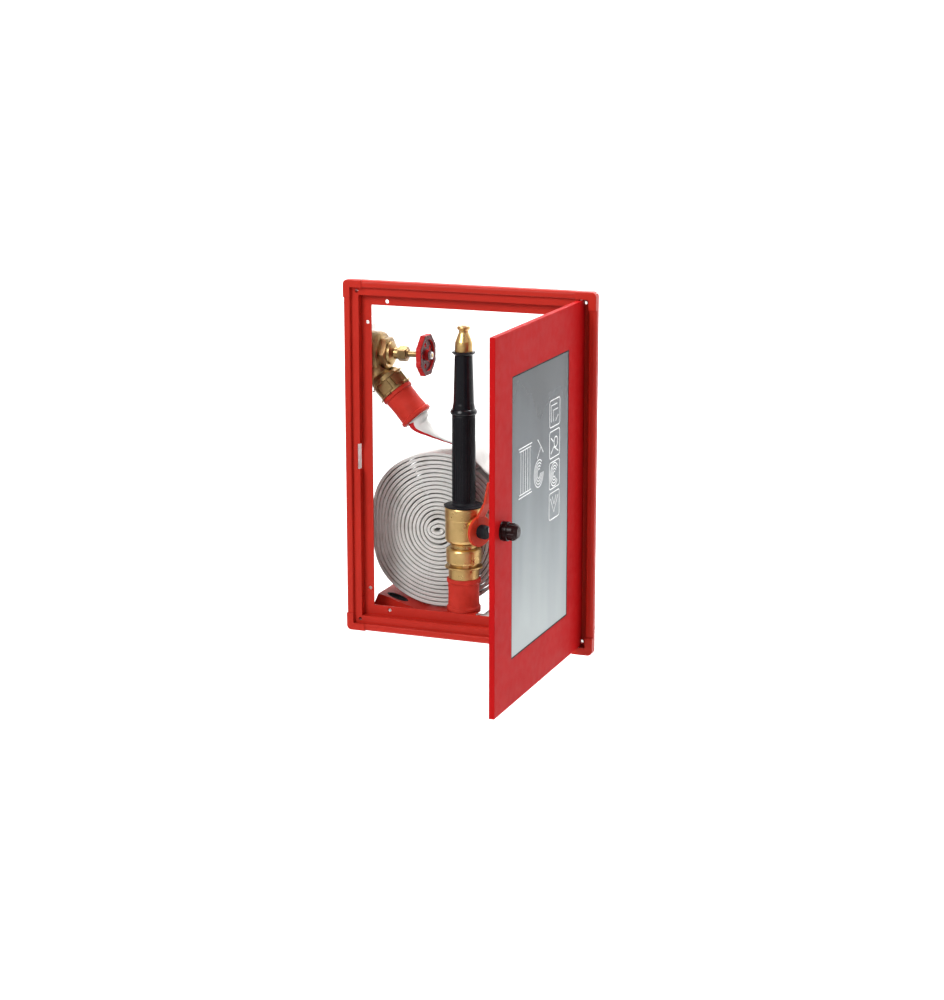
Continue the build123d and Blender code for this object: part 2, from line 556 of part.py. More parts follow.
def hose_sleeve(at, axis, start, end, collar_end, radius):
    """Rubber sleeve over the hose binding with a bead at both ends."""
    rim = radius + 2.6
    return turned([(24.0, collar_end), (24.0, end), (radius - 0.6, end), (rim, end - 2), (rim, end - 7),
                   (radius, end - 9), (radius - 0.8, (start + end) / 2), (radius, start + 9),
                   (rim, start + 7), (rim, start + 2), (rim - 1.2, start), (26.6, start),
                   (26.6, collar_end)], at, axis)


def hose_cuff(at, axis, start, end):
    """Hose end bound onto the ribbed tail."""
    return rod(24.0, start, end, at, axis) - rod(18.9, start - 1, end + 1, at, axis)


# ================================================================ hose
def band(sections):
    """Closed hose body through oval sections: centre, direction, width direction, half sizes."""
    faces = []
    for centre, along, across, half_w, half_t in sections:
        z = Vector(*along).normalized()
        x = (Vector(*across) - z * Vector(*across).dot(z)).normalized()
        faces.append(Plane(origin=centre, x_dir=x, z_dir=z).location * Ellipse(half_w, half_t).face())
    body = None
    for near, far in zip(faces, faces[1:]):
        span = loft([near, far], ruled=True)
        body = span if body is None else body + span
    return body


def coil_outline(theta):
    """Radius of the roll; it is pressed flatter by the recess wall and beside the lever."""
    left = max(0.0, cos(radians(theta - 180.0))) ** 10
    right = max(0.0, cos(radians(theta - 8.0))) ** 8
    return COIL_R - 14.0 * left - 8.0 * right


def hose_coil():
    """The double-rolled hose as one body with its folded core left open."""
    points = []
    for k in range(48):
        a = 7.5 * k
        r = coil_outline(a)
        points.append((COIL_X + r * cos(radians(a)), COIL_Y0, COIL_Z + r * sin(radians(a))))
    face = make_face(Spline(*points, periodic=True))
    roll = extrude(face, amount=HOSE_FLAT, dir=(0, 1, 0))
    core = Plane(origin=(COIL_X, 0, COIL_Z), z_dir=(0, 1, 0)).location * extrude(
        Ellipse(11.0, 4.0), amount=300)
    return roll - core


def hose_inlet_run():
    """Hose from the valve's sleeve, flattening as it drops onto the top of the roll."""
    exit_point = [OUT_AT[i] + OUT_DIR[i] * SLEEVE_END for i in range(3)]
    y_mid = COIL_Y0 + HOSE_FLAT / 2
    sections = [
        (exit_point, OUT_DIR, (0, 1, 0), 23.5, 22.0),
        ((-123.0, 63.0, 60.5), (0.75, 0.15, -0.64), (0, 1, 0), 27.0, 17.0),
        ((-111.0, 70.0, 48.5), (0.75, 0.3, -0.55), (-0.2, 1, 0), 31.5, 10.5),
        ((-95.0, 79.5, 37.0), (0.8, 0.42, -0.42), (-0.35, 1, 0), 34.5, 6.0),
        ((-76.0, 90.0, 27.5), (0.85, 0.42, -0.4), (-0.35, 1, 0), 36.0, 4.2),
        ((-54.0, 100.0, 17.6), (0.88, 0.3, -0.42), (-0.2, 1, 0), 36.0, 3.8),
        ((-30.0, 107.0, 6.0), (0.9, 0.12, -0.45), (0, 1, 0), 36.0, 3.8),
    ]
    for a in (59.0, 48.0, 37.0, 26.0):
        r = COIL_R + 4.6
        centre = (COIL_X + r * cos(radians(a)), y_mid, COIL_Z + r * sin(radians(a)))
        sections.append((centre, (sin(radians(a)), 0, -cos(radians(a))), (0, 1, 0), 36.0, 3.8))
    return band(sections)


def hose_outlet_run():
    """Hose from the roll's right side, curling up into the branch pipe's sleeve."""
    y_mid = COIL_Y0 + HOSE_FLAT / 2
    sections = [
        ((NOZ_X, NOZ_Y, NOZ_BOTTOM), (0, 0, -1), (0, 1, 0), 23.5, 22.0),
        ((NOZ_X + 1.5, NOZ_Y + 1, -287.0), (0.35, 0.05, -0.93), (0, 1, 0), 24.5, 18.0),
        ((NOZ_X + 9.0, NOZ_Y + 4, -297.0), (0.85, 0.2, -0.45), (0, 1, 0), 27.0, 10.0),
        ((NOZ_X + 25.0, NOZ_Y + 9, -299.0), (0.95, 0.28, 0.12), (0, 1, 0), 31.0, 6.5),
        ((16.0, 54.0, -290.5), (0.82, 0.36, 0.45), (-0.2, 1, 0), 34.0, 5.0),
        ((31.0, 66.0, -275.5), (0.50, 0.45, 0.74), (-0.2, 1, 0), 35.5, 4.2),
        ((39.5, 81.0, -256.0), (0.32, 0.50, 0.80), (-0.2, 1, 0), 36.0, 3.8),
        ((45.5, 96.0, -234.0), (0.22, 0.40, 0.89), (-0.1, 1, 0), 36.0, 3.8),
        ((50.5, 106.5, -211.0), (0.18, 0.15, 0.97), (0, 1, 0), 36.0, 3.8),
        ((54.6, y_mid, -188.0), (0.16, 0.03, 0.98), (0, 1, 0), 36.0, 3.8),
    ]
    return band(sections)


# ================================================================ branch pipe
NOZ_AT = (NOZ_X, NOZ_Y, 0)
NOZ_DOWN = (0, 0, -1)
NOZ_BOTTOM = -278.2
LEVER_DIR = (cos(radians(LEVER_TURN)), -sin(radians(LEVER_TURN)), 0)
BALL_AT = (NOZ_X, NOZ_Y, BALL_Z)
COUPLING_Z = -169.0            # face of the nozzle's own thread


def nozzle_tip():
    """Brass jet tip with a flared lip."""
    return turned([(4.5, 243.0), (6.0, 245.0), (10.6, 245.0), (12.0, 242.5), (12.0, 240.6), (8.8, 237.2),
                   (8.8, 234.0), (12.0, 226.0), (15.2, 217.0), (15.9, 212.0), (15.9, 200.3),
                   (14.0, 200.3), (14.0, 182.0), (11.5, 182.0), (9.5, 205.0), (4.5, 228.0)], NOZ_AT)


def nozzle_barrel():
    """Black tapered barrel with a collar at each end."""
    return turned([(14.0, 86.2), (23.4, 86.2), (24.5, 88.6), (24.5, 91.0), (22.6, 94.6), (20.8, 96.2),
                   (19.8, 103.0), (19.0, 106.0), (18.1, 140.0), (16.4, 193.0), (19.6, 195.2),
                   (21.4, 197.2), (21.4, 198.6), (19.6, 200.3), (14.0, 200.3)], NOZ_AT)


def nozzle_core():
    """Aluminium tube that runs inside the barrel and the grip."""
    return rod(14.0, -96.0, 181.5, NOZ_AT) - rod(11.8, -97, 183, NOZ_AT)


def nozzle_grip():
    """Black grip with lengthwise ribs and a guard disc below."""
    grip = turned([(14.0, -84.0), (33.0, -84.0), (36.3, -83.4), (36.3, -81.4), (33.0, -80.4),
                   (24.0, -79.4), (21.6, -76.0), (21.3, -74.0), (21.3, 83.0), (19.8, 86.2),
                   (14.0, 86.2)], NOZ_AT)
    groove = box(20.4, 23.0, -0.8, 0.8, -72.0, 80.0)
    cuts = [groove.rotate(Axis.Z, 12 * k) for k in range(30)]
    tool = Compound(children=[c.moved(Location(NOZ_AT)) for c in cuts])
    return grip - tool


def nozzle_head():
    """Upper half of the ball valve's body."""
    shape = turned([(11.8, -107.0), (34.2, -107.0), (34.6, -106.0), (34.6, -86.0), (33.6, -84.0),
                    (14.0, -84.0), (14.0, -96.0), (11.8, -96.0)], NOZ_AT)
    return shape - rod(21.6, -107.5, -105.0, NOZ_AT)


def nozzle_body():
    """Lower half of the ball valve's body with the lever's boss and the coupling thread."""
    shape = turned([(0, -107.0), (33.8, -107.0), (33.8, -144.0), (31.5, -148.5), (24.5, -153.5),
                    (23.6, -156.0), (24.0, -159.6), (22.0, -160.0), (22.0, COUPLING_Z - 7),
                    (0, COUPLING_Z - 7)], NOZ_AT)
    boss = turned([(0, 0), (18.0, 0), (18.0, 27.0), (21.0, 31.0), (24.5, 34.0), (24.5, 36.8), (0, 36.8)],
                  BALL_AT, LEVER_DIR)
    boss -= rod(34.9, -107.0, -80.0, NOZ_AT)
    shape = shape + boss
    shape -= rod(21.6, -143.0, -106.0, NOZ_AT)
    shape -= rod(12.0, COUPLING_Z - 8, -140, NOZ_AT)
    return shape - rod(6.0 + RUN, 10, 40, BALL_AT, LEVER_DIR)


def ball_seats():
    """Two seat rings that close on the ball."""
    rings = []
    for sign in (-1, 1):
        z0, z1 = sorted((sign * 13.0, sign * 19.0))
        ring = rod(21.6, z0, z1, BALL_AT) - rod(12.0, -40, 40, BALL_AT)
        rings.append(ring - Sphere(BALL_R + RUN).moved(Location(BALL_AT)))
    return rings


def nozzle_ball():
    """Ball with its water way and the stem's slot."""
    ball = Sphere(BALL_R).moved(Location(BALL_AT)) - rod(12.0, -40, 40, BALL_AT)
    slot = Plane(origin=BALL_AT, z_dir=LEVER_DIR, x_dir=(0, 0, 1)).location * box(
        -8.0, 8.0, -2.55, 2.55, 16.0, 30.0)
    return ball - slot


def ball_stem():
    """Stem from the ball's slot to the lever."""
    stem = rod(6.0, 21.0, 56.0, BALL_AT, LEVER_DIR)
    tongue = Plane(origin=BALL_AT, z_dir=LEVER_DIR, x_dir=(0, 0, 1)).location * box(
        -5.4, 5.4, -2.5, 2.5, 16.4, 21.5)
    return stem + tongue


def lever():
    """Red lever: round boss plate and a cranked arm that points up beside the grip."""
    plate = turned([(6.0, 37.3), (27.2, 37.3), (28.2, 38.2), (28.2, 43.0), (27.2, 44.0), (6.0, 44.0)])
    line = [(14.0, 41.5), (28.0, 43.5), (56.0, 61.0), (94.0, 70.0)]
    arm = None
    for (ua, na), (ub, nb) in zip(line, line[1:]):
        length = sqrt((ub - ua) ** 2 + (nb - na) ** 2)
        plane = Plane(origin=(0, 0, 0), x_dir=((ub - ua) / length, 0, (nb - na) / length), z_dir=(0, 1, 0))
        strip = extrude(Pos(length / 2, 0) * SlotCenterToCenter(length, 4.5), amount=9.0, both=True)
        strip = (plane.location * strip).moved(Location((ua, 0, na)))
        arm = strip if arm is None else arm + strip
    body = plate + arm
    body -= Cylinder(6.0, 200)
    body -= box(-13.4, 13.4, -13.4, 13.4, 44.0, 70.0)
    return Plane(origin=BALL_AT, x_dir=(0, 0, 1), z_dir=LEVER_DIR).location * body


def lever_cap():
    """Black cap over the end of the stem."""
    cap = turned([(0, 44.0), (12.6, 44.0), (13.0, 45.0), (12.6, 57.0), (10.5, 60.0), (0, 60.6)],
                 BALL_AT, LEVER_DIR)
    return cap - rod(6.0, 40, 56.05, BALL_AT, LEVER_DIR)


def nozzle_coupling():
    """Threaded half of the coupling at the branch pipe's foot."""
    shape = turned([(22.0, -160.4), (27.5, -160.4), (31.0, -162.6), (32.2, -165.5), (32.2, -186.0),
                    (31.4, -188.0), (27.0, -188.0), (27.0, -179.0), (23.0, -179.0), (23.0, -176.0),
                    (22.0, -176.0)], NOZ_AT)
    keys = None
    for k in range(2):
        key = box(30.8, 33.6, -2.2, 2.2, -188.0, -166.0).rotate(Axis.Z, 180 * k - 38)
        keys = key if keys is None else keys + key
    keys = keys.moved(Location(NOZ_AT))
    return shape + (keys - rod(31.0, -200, -150, NOZ_AT))


def nozzle_ring():
    """Swivel ring with a thin flange and two claws that hook the other half."""
    shape = turned([(19.4, -187.6), (26.9, -187.6), (26.9, -189.5), (25.2, -190.5), (25.2, -193.6),
                    (33.8, -194.4), (34.6, -195.4), (34.6, -196.8), (33.6, -197.6), (19.4, -197.6)],
                   NOZ_AT)
    claws = None
    for k in range(2):
        claw = box(25.0, 30.5, -5.0, 5.0, -194.5, -188.4).rotate(Axis.Z, 180 * k - 62)
        claws = claw if claws is None else claws + claw
    claws = claws.moved(Location(NOZ_AT)) - rod(25.2, -200, -150, NOZ_AT)
    return shape + claws


def nozzle_tail():
    """Tail of the branch pipe's coupling: head, collar and ribbed tube."""
    points = [(16.0, -182.0), (26.6, -182.0), (26.6, -187.6), (19.4, -187.6), (19.4, -197.6),
              (27.9, -197.6), (27.9, -222.0), (18.9, -222.0)]
    for k in range(5):
        base = -225.0 - 9.0 * k
        points += [(18.2, base), (18.9, base - 7.0)]
    points += [(18.2, -274.0), (16.0, -274.0)]
    return turned(points, NOZ_AT)


def nozzle_gasket():
    """Flat ring inside the branch pipe's coupling."""
    return rod(26.6, -182.0, -179.0, NOZ_AT) - rod(17.0, -183, -178, NOZ_AT)


def nozzle_sleeve():
    """Rubber sleeve over the lower hose binding."""
    top = -217.4
    low = NOZ_BOTTOM
    return turned([(24.0, -222.0), (27.95, -222.0), (27.95, top), (30.0, top), (31.2, top - 2),
                   (31.2, top - 7), (28.9, top - 9.5), (28.2, (top + low) / 2), (28.9, low + 9.5),
                   (31.2, low + 7), (31.2, low + 2), (30.0, low), (24.0, low)], NOZ_AT)


# ================================================================ door, drawn shut
def opened(shape):
    """Swing a shape of the shut door to where it stands open at a right angle."""
    return shape.rotate(Axis((PIVOT_X, PIVOT_Y, 0), (0, 0, 1)), 90)


def door_block(inset, y0, y1):
    """Door outline with the heel's chamfer, shrunk by inset."""
    left = PIVOT_X + 12.0 - DOOR_W + inset
    right = PIVOT_X + 12.0 - inset
    half = DOOR_H / 2 - inset
    block = box(left, right, y0, y1, -half, half)
    heel_y = DOOR_FRONT + DOOR_T
    if y1 > heel_y - HEEL_CHAMFER:
        points = [(right + 1, heel_y - HEEL_CHAMFER - 1), (right - HEEL_CHAMFER - 1, heel_y + 1),
                  (right + 1, heel_y + 1)]
        shift = -inset * 0.6
        wedge = make_face(Polyline(*[(x, y + shift, -half - 1) for x, y in points], close=True))
        block -= extrude(wedge, amount=2 * half + 2, dir=(0, 0, 1))
    return block


def door_panel():
    """Folded sheet pan with a window opening and lips round the back."""
    back = DOOR_FRONT + DOOR_T
    pan = door_block(0.0, DOOR_FRONT, back)
    front_edges = pan.edges().filter_by(lambda e: abs(e.center().Y - DOOR_FRONT) < 0.01)
    pan = fillet(front_edges, 0.9)
    pan -= door_block(DOOR_SKIN, DOOR_FRONT + DOOR_SKIN, back - DOOR_SKIN)
    pan -= box(PIVOT_X + 12 - DOOR_W + 14, PIVOT_X - 6, back - 3, back + 1, -DOOR_H / 2 + 14, DOOR_H / 2 - 14)
    rim = box(WIN_X0 - DOOR_SKIN, WIN_X1 + DOOR_SKIN, DOOR_FRONT, DOOR_FRONT + 6,
              WIN_Z0 - DOOR_SKIN, WIN_Z1 + DOOR_SKIN)
    pan += rim
    pan -= box(WIN_X0, WIN_X1, DOOR_FRONT - 1, DOOR_FRONT + 9, WIN_Z0, WIN_Z1)
    for end in (-1, 1):
        z0, z1 = sorted((end * (DOOR_H / 2 - 12), end * (DOOR_H / 2 - DOOR_SKIN / 2)))
        pan += box(PIVOT_X - 6, PIVOT_X + 6, DOOR_FRONT + DOOR_SKIN / 2, DOOR_FRONT + 7, z0, z1)
        z0, z1 = sorted((end * (DOOR_H / 2 - 9), end * (DOOR_H / 2 + 5)))
        pan -= rod(PIN_R, z0, z1, (PIVOT_X, PIVOT_Y, 0))
    return pan - rod(7.0, -30, 10, (KNOB_X, 0, KNOB_Z), (0, 1, 0))


def window_gasket():
    """Thin dark seal between the pane and the opening."""
    g = GASKET_W
    outer = box(WIN_X0, WIN_X1, DOOR_FRONT + 0.3, DOOR_FRONT + 3.6, WIN_Z0, WIN_Z1)
    return outer - box(WIN_X0 + g, WIN_X1 - g, -30, 10, WIN_Z0 + g, WIN_Z1 - g)


def window_pane():
    """Clear plastic pane, nearly flush with the door's face."""
    g = GASKET_W
    return box(WIN_X0 + g, WIN_X1 - g, DOOR_FRONT + 0.5, DOOR_FRONT + 0.5 + PANE_T, WIN_Z0 + g, WIN_Z1 - g)


def pane_retainer():
    """Frame that presses the pane and its seal forward."""
    outer = box(WIN_X0, WIN_X1, DOOR_FRONT + 3.6, DOOR_FRONT + 5.1, WIN_Z0, WIN_Z1)
    inner = box(WIN_X0 + 11, WIN_X1 - 11, -30, 10, WIN_Z0 + 11, WIN_Z1 - 11)
    return outer - inner


def retainer_clips():
    """Clips that hook over the opening's rim and hold the retainer."""
    y0 = DOOR_FRONT + 5.1
    clips = []
    for z in (-150.0, 2.0, 154.0):
        for x, s in ((WIN_X0, -1), (WIN_X1, 1)):
            x0, x1 = sorted((x + s * 6, x - s * 9))
            tongue = box(x0, x1, y0 + 0.9, y0 + 2.1, z - 8, z + 8)
            tongue += box(*sorted((x - s * 9, x - s * 1)), y0, y0 + 1.0, z - 8, z + 8)
            clips.append(tongue)
    for x in (-75.0, 69.0):
        for z, s in ((WIN_Z0, -1), (WIN_Z1, 1)):
            z0, z1 = sorted((z + s * 6, z - s * 9))
            tongue = box(x - 8, x + 8, y0 + 0.9, y0 + 2.1, z0, z1)
            tongue += box(x - 8, x + 8, y0, y0 + 1.0, *sorted((z - s * 9, z - s * 1)))
            clips.append(tongue)
    return clips


def hinge_pins():
    """Pins that stand out of the door's top and bottom edges into the frame's corners."""
    pins = []
    for end in (-1, 1):
        z0, z1 = sorted((end * (DOOR_H / 2 - 9), end * (DOOR_H / 2 + 8)))
        pins.append(rod(PIN_R, z0, z1, (PIVOT_X, PIVOT_Y, 0)))
    return pins


LOCK_AT = (KNOB_X, 0, KNOB_Z)
BACK_Y = DOOR_FRONT + DOOR_T


def lock_housing():
    """Bush through the door with a flange outside and a hexagon nut inside."""
    bush = turned([(4.0 + RUN, DOOR_FRONT - 1.5), (15.0, DOOR_FRONT - 1.5), (15.5, DOOR_FRONT), (7.0, DOOR_FRONT),
                   (7.0, BACK_Y + 5.0), (4.0 + RUN, BACK_Y + 5.0)], LOCK_AT, (0, 1, 0))
    nut = chamfered_hex(22.0, DOOR_FRONT + DOOR_SKIN, DOOR_FRONT + DOOR_SKIN + 7, LOCK_AT, (0, 1, 0))
    return bush + (nut - rod(6.5, -40, 20, LOCK_AT, (0, 1, 0)))


def knob():
    """Turn knob with a stepped collar, finger flats and its own shaft."""
    front = DOOR_FRONT - 1.8
    head = turned([(0, front - 26.4), (8.5, front - 26.4), (10.5, front - 25.0), (13.2, front - 21.5),
                   (14.2, front - 18.0), (14.2, front - 10.0), (15.9, front - 9.0), (16.2, front - 1.0),
                   (15.2, front), (0, front)], LOCK_AT, (0, 1, 0))
    flats = None
    for k in range(6):
        flute = Cylinder(3.2, 14.0).moved(Location((15.6, 0, 0))).rotate(Axis.Z, 60 * k + 30)
        flats = flute if flats is None else flats + flute
    flats = Plane(origin=(KNOB_X, front - 17.2, KNOB_Z), z_dir=(0, 1, 0)).location * flats
    mark = box(KNOB_X - 1.0, KNOB_X + 1.0, front - 27, front - 25.6, KNOB_Z, KNOB_Z + 8)
    shaft = rod(4.0, front - 1, BACK_Y + 12.0, LOCK_AT, (0, 1, 0))
    return (head - flats - mark) + shaft


CAM_Y = BACK_Y + 5.6


def latch_cam():
    """Latch tongue; it stands upright while the latch is drawn back."""
    plane = Plane(origin=(KNOB_X, CAM_Y, KNOB_Z), x_dir=(0, 0, 1), z_dir=(0, 1, 0))
    blade = Pos(12.0, 0) * SlotCenterToCenter(24.0, 15.0)
    cam = plane.location * extrude(blade, amount=3.0)
    return cam - rod(4.0, -20, 20, LOCK_AT, (0, 1, 0))


def cam_nut():
    """Nut that holds the tongue on the knob's shaft."""
    nut = chamfered_hex(11.0, CAM_Y + 3.0, CAM_Y + 6.0, LOCK_AT, (0, 1, 0))
    return nut - rod(4.0, -20, 20, LOCK_AT, (0, 1, 0))


# ================================================================ write every node
save("rail_left", vertical_rail(-1))
save("rail_right", vertical_rail(1))
save("rail_top", horizontal_rail(1))
save("rail_bottom", horizontal_rail(-1))
save("corner_top_left", corner_piece(-1, 1))
save("corner_top_right", corner_piece(1, 1))
save("corner_bottom_left", corner_piece(-1, -1))
save("corner_bottom_right", corner_piece(1, -1))
save("liner_left", liner_left())
save("liner_right", liner_right())
save("liner_top", liner_top())
save("liner_shelf", liner_shelf())
save("bulkhead_plate", bulkhead_plate())
save("rivets", *[rivet((-IN_X + 3.0, y, z), (-1, 0, 0), 3.0 + LINER_T) for y, z in RIVET_YZ],
     *[rivet((x, y, -IN_Z + SADDLE_T), (0, 0, -1), SADDLE_T + LINER_T) for x, y in FOOT_XY])
save("inlet_locknut", inlet_locknut())
save("saddle", saddle())
save("saddle_pad", saddle_pad())
save("nozzle_rest", nozzle_rest())
save("valve_body", valve_body())
save("valve_bonnet", valve_bonnet())
save("gland_nut", gland_nut())
save("gland_packing", gland_packing())
save("valve_disc", valve_disc())
save("spindle", spindle())
save("handwheel", handwheel())
save("handwheel_nut", handwheel_nut())
save("outlet_ring", outlet_ring())
save("outlet_tail", hose_tail(OUT_AT, OUT_DIR, 84.0, 26.5, 34.0))
save("outlet_gasket", coupling_gasket(OUT_AT, OUT_DIR))
save("outlet_sleeve", hose_sleeve(OUT_AT, OUT_DIR, 28.2, SLEEVE_END, 34.0, 28.0))
save("hose_cuffs", hose_cuff(OUT_AT, OUT_DIR, 34.2, SLEEVE_END),
     hose_cuff(NOZ_AT, NOZ_DOWN, 222.2, -NOZ_BOTTOM))
save("hose_inlet_run", hose_inlet_run())
save("hose_coil", hose_coil())
save("hose_outlet_run", hose_outlet_run())
save("nozzle_tip", nozzle_tip())
save("nozzle_barrel", nozzle_barrel())
save("nozzle_core", nozzle_core())
save("nozzle_grip", nozzle_grip())
save("nozzle_head", nozzle_head())
save("nozzle_body", nozzle_body())
save("ball_seats", *ball_seats())
save("nozzle_ball", nozzle_ball())
save("ball_stem", ball_stem())
save("lever", lever())
save("lever_cap", lever_cap())
save("nozzle_coupling", nozzle_coupling())
save("nozzle_ring", nozzle_ring())
save("nozzle_tail", nozzle_tail())
save("nozzle_gasket", nozzle_gasket())
save("nozzle_sleeve", nozzle_sleeve())
save("door_panel", opened(door_panel()))
save("window_gasket", opened(window_gasket()))
save("window_pane", opened(window_pane()))
save("pane_retainer", opened(pane_retainer()))
save("retainer_clips", *[opened(c) for c in retainer_clips()])
save("hinge_pins", *[opened(p) for p in hinge_pins()])
save("lock_housing", opened(lock_housing()))
save("knob", opened(knob()))
save("latch_cam", opened(latch_cam()))
save("cam_nut", opened(cam_nut()))
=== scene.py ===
"""Looks of the recessed fire-hose cabinet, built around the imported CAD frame. Metres, row frame."""
import json
import math

import bmesh
import bpy
from mathutils import Euler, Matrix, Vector, noise


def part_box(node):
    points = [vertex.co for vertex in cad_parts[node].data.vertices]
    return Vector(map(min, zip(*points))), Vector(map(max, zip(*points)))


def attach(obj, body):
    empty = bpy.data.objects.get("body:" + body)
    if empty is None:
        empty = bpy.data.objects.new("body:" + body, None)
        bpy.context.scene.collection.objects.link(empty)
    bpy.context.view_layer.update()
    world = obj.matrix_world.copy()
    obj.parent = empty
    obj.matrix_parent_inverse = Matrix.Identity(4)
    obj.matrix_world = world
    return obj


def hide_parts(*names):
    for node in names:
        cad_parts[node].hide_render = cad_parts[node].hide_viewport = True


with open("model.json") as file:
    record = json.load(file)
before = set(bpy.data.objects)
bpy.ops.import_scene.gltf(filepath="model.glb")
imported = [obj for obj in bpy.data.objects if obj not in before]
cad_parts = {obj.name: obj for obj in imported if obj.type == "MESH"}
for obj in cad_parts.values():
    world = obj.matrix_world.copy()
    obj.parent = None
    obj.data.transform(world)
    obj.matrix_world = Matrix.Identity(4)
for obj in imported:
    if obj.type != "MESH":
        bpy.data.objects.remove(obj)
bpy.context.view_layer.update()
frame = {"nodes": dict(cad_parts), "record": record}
NODES = frame["nodes"]


scene = bpy.context.scene
scene.view_settings.view_transform = "Standard"
scene.view_settings.look = "None"

# ---------------------------------------------------------------- measures taken from the frame
LEFT_PRESS = 0.0140             # the roll is this much flatter where the wall presses it
RIGHT_PRESS = 0.0080            # and this much beside the lever
COIL_LOW, COIL_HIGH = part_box("hose_coil")
COIL_Y0, COIL_Y1 = COIL_LOW.y, COIL_HIGH.y
COIL_MID_Y = (COIL_Y0 + COIL_Y1) / 2
COIL_R = (COIL_HIGH.z - COIL_LOW.z) / 2
COIL_X = COIL_LOW.x + COIL_R - LEFT_PRESS
COIL_Z = (COIL_HIGH.z + COIL_LOW.z) / 2
PANE_LOW, PANE_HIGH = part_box("window_pane")
OUTLET_ANGLE = math.radians(48.0)   # the valve's outlet points this far below horizontal
OUTLET_START = Vector((-0.186, 0.061, 0.1347))
SLEEVE_LENGTH = 0.0904          # along the outlet's axis, to the end of its red sleeve
SLEEVE_EXIT = OUTLET_START + SLEEVE_LENGTH * Vector((math.cos(OUTLET_ANGLE), 0, -math.sin(OUTLET_ANGLE)))

# ---------------------------------------------------------------- hose
PITCH = 0.0078                  # two layers of hose and the gap
TURNS = 18
STEPS = 112                     # sections in one turn
LAYER = 0.0031                  # half of the double layer's thickness
ROLL_START = math.radians(59)   # where the outermost turn meets the valve's run
RING = 32                       # points around a hose section
RUN_STEPS = 10                  # sections between two stations of a hose run
RED_EDGE_POINTS = range(16, 25)   # lower front quarter of a section
RED_EDGE_SECTIONS = range(12, 67)

# ---------------------------------------------------------------- print on the window pane
PRINT_LINE = 0.0019
SIGN_Y, SIGN_TOP, SIGN_STEP = -0.1580, 0.1405, 0.0530
SIGN_HALF_WIDTH, SIGN_HALF_HEIGHT, SIGN_CORNER = 0.0270, 0.0238, 0.006
DRAWING_Y, DRAWING_Z = -0.3020, 0.0700


# ================================================================ materials
class Nodes:
    """Small helper that adds and links shader nodes."""

    def __init__(self, name):
        self.material = bpy.data.materials.new(name)
        self.material.use_nodes = True
        self.tree = self.material.node_tree
        self.shader = self.tree.nodes["Principled BSDF"]

    def add(self, kind, **values):
        node = self.tree.nodes.new(kind)
        for key, value in values.items():
            if hasattr(node, key):
                setattr(node, key, value)
            else:
                node.inputs[key.replace("_", " ").title()].default_value = value
        return node

    def link(self, a, b):
        self.tree.links.new(a, b)

    def set(self, **values):
        for key, value in values.items():
            self.shader.inputs[key.replace("_", " ")].default_value = value

    def place(self):
        return self.add("ShaderNodeTexCoord").outputs["Object"]

    def noise(self, scale, detail=3.0, roughness=0.55, vector=None):
        node = self.add("ShaderNodeTexNoise")
        node.inputs["Scale"].default_value = scale
        node.inputs["Detail"].default_value = detail
        node.inputs["Roughness"].default_value = roughness
        self.link(vector or self.place(), node.inputs["Vector"])
        return node.outputs["Fac"]

    def ramp(self, fac, stops):
        node = self.add("ShaderNodeValToRGB")
        ramp = node.color_ramp
        while len(ramp.elements) < len(stops):
            ramp.elements.new(0.5)
        for element, (place, colour) in zip(ramp.elements, stops):
            element.position = place
            element.color = (*colour, 1.0)
        self.link(fac, node.inputs["Fac"])
        return node.outputs["Color"]

    def map(self, value, low, high, to_low, to_high):
        node = self.add("ShaderNodeMapRange")
        for key, number in (("From Min", low), ("From Max", high), ("To Min", to_low), ("To Max", to_high)):
            node.inputs[key].default_value = number
        self.link(value, node.inputs["Value"])
        return node.outputs["Result"]

    def math(self, operation, a, b=0.0):
        node = self.add("ShaderNodeMath")
        node.operation = operation
        for socket, value in zip(node.inputs, (a, b)):
            if isinstance(value, (int, float)):
                socket.default_value = value
            else:
                self.link(value, socket)
        return node.outputs[0]

    def mix(self, fac, a, b):
        node = self.add("ShaderNodeMix")
        node.data_type = "RGBA"
        for socket, value in ((node.inputs["Factor"], fac), (node.inputs[6], a), (node.inputs[7], b)):
            if isinstance(value, (int, float)):
                socket.default_value = value
            elif isinstance(value, tuple):
                socket.default_value = (*value, 1.0)
            else:
                self.link(value, socket)
        return node.outputs[2]

    def bump(self, height, strength, distance):
        node = self.add("ShaderNodeBump")
        node.inputs["Strength"].default_value = strength
        node.inputs["Distance"].default_value = distance
        self.link(height, node.inputs["Height"])
        self.link(node.outputs["Normal"], self.shader.inputs["Normal"])


def powder_coat(name, colour, rough=0.42, peel=0.25, shine=0.25):
    """Powder coat: orange-peel surface, slight tone changes and scuffs that catch the light."""
    m = Nodes(name)
    dark = tuple(c * 0.95 for c in colour)
    light = tuple(min(1.0, c * 1.04) for c in colour)
    m.link(m.ramp(m.noise(9.0), [(0.32, dark), (0.68, light)]), m.shader.inputs["Base Color"])
    m.link(m.map(m.noise(60.0, 6.0), 0.35, 0.75, rough - 0.05, rough + 0.09), m.shader.inputs["Roughness"])
    m.bump(m.noise(900.0, 2.0), peel, 0.00025)
    m.set(Specular_IOR_Level=shine)
    return m.material


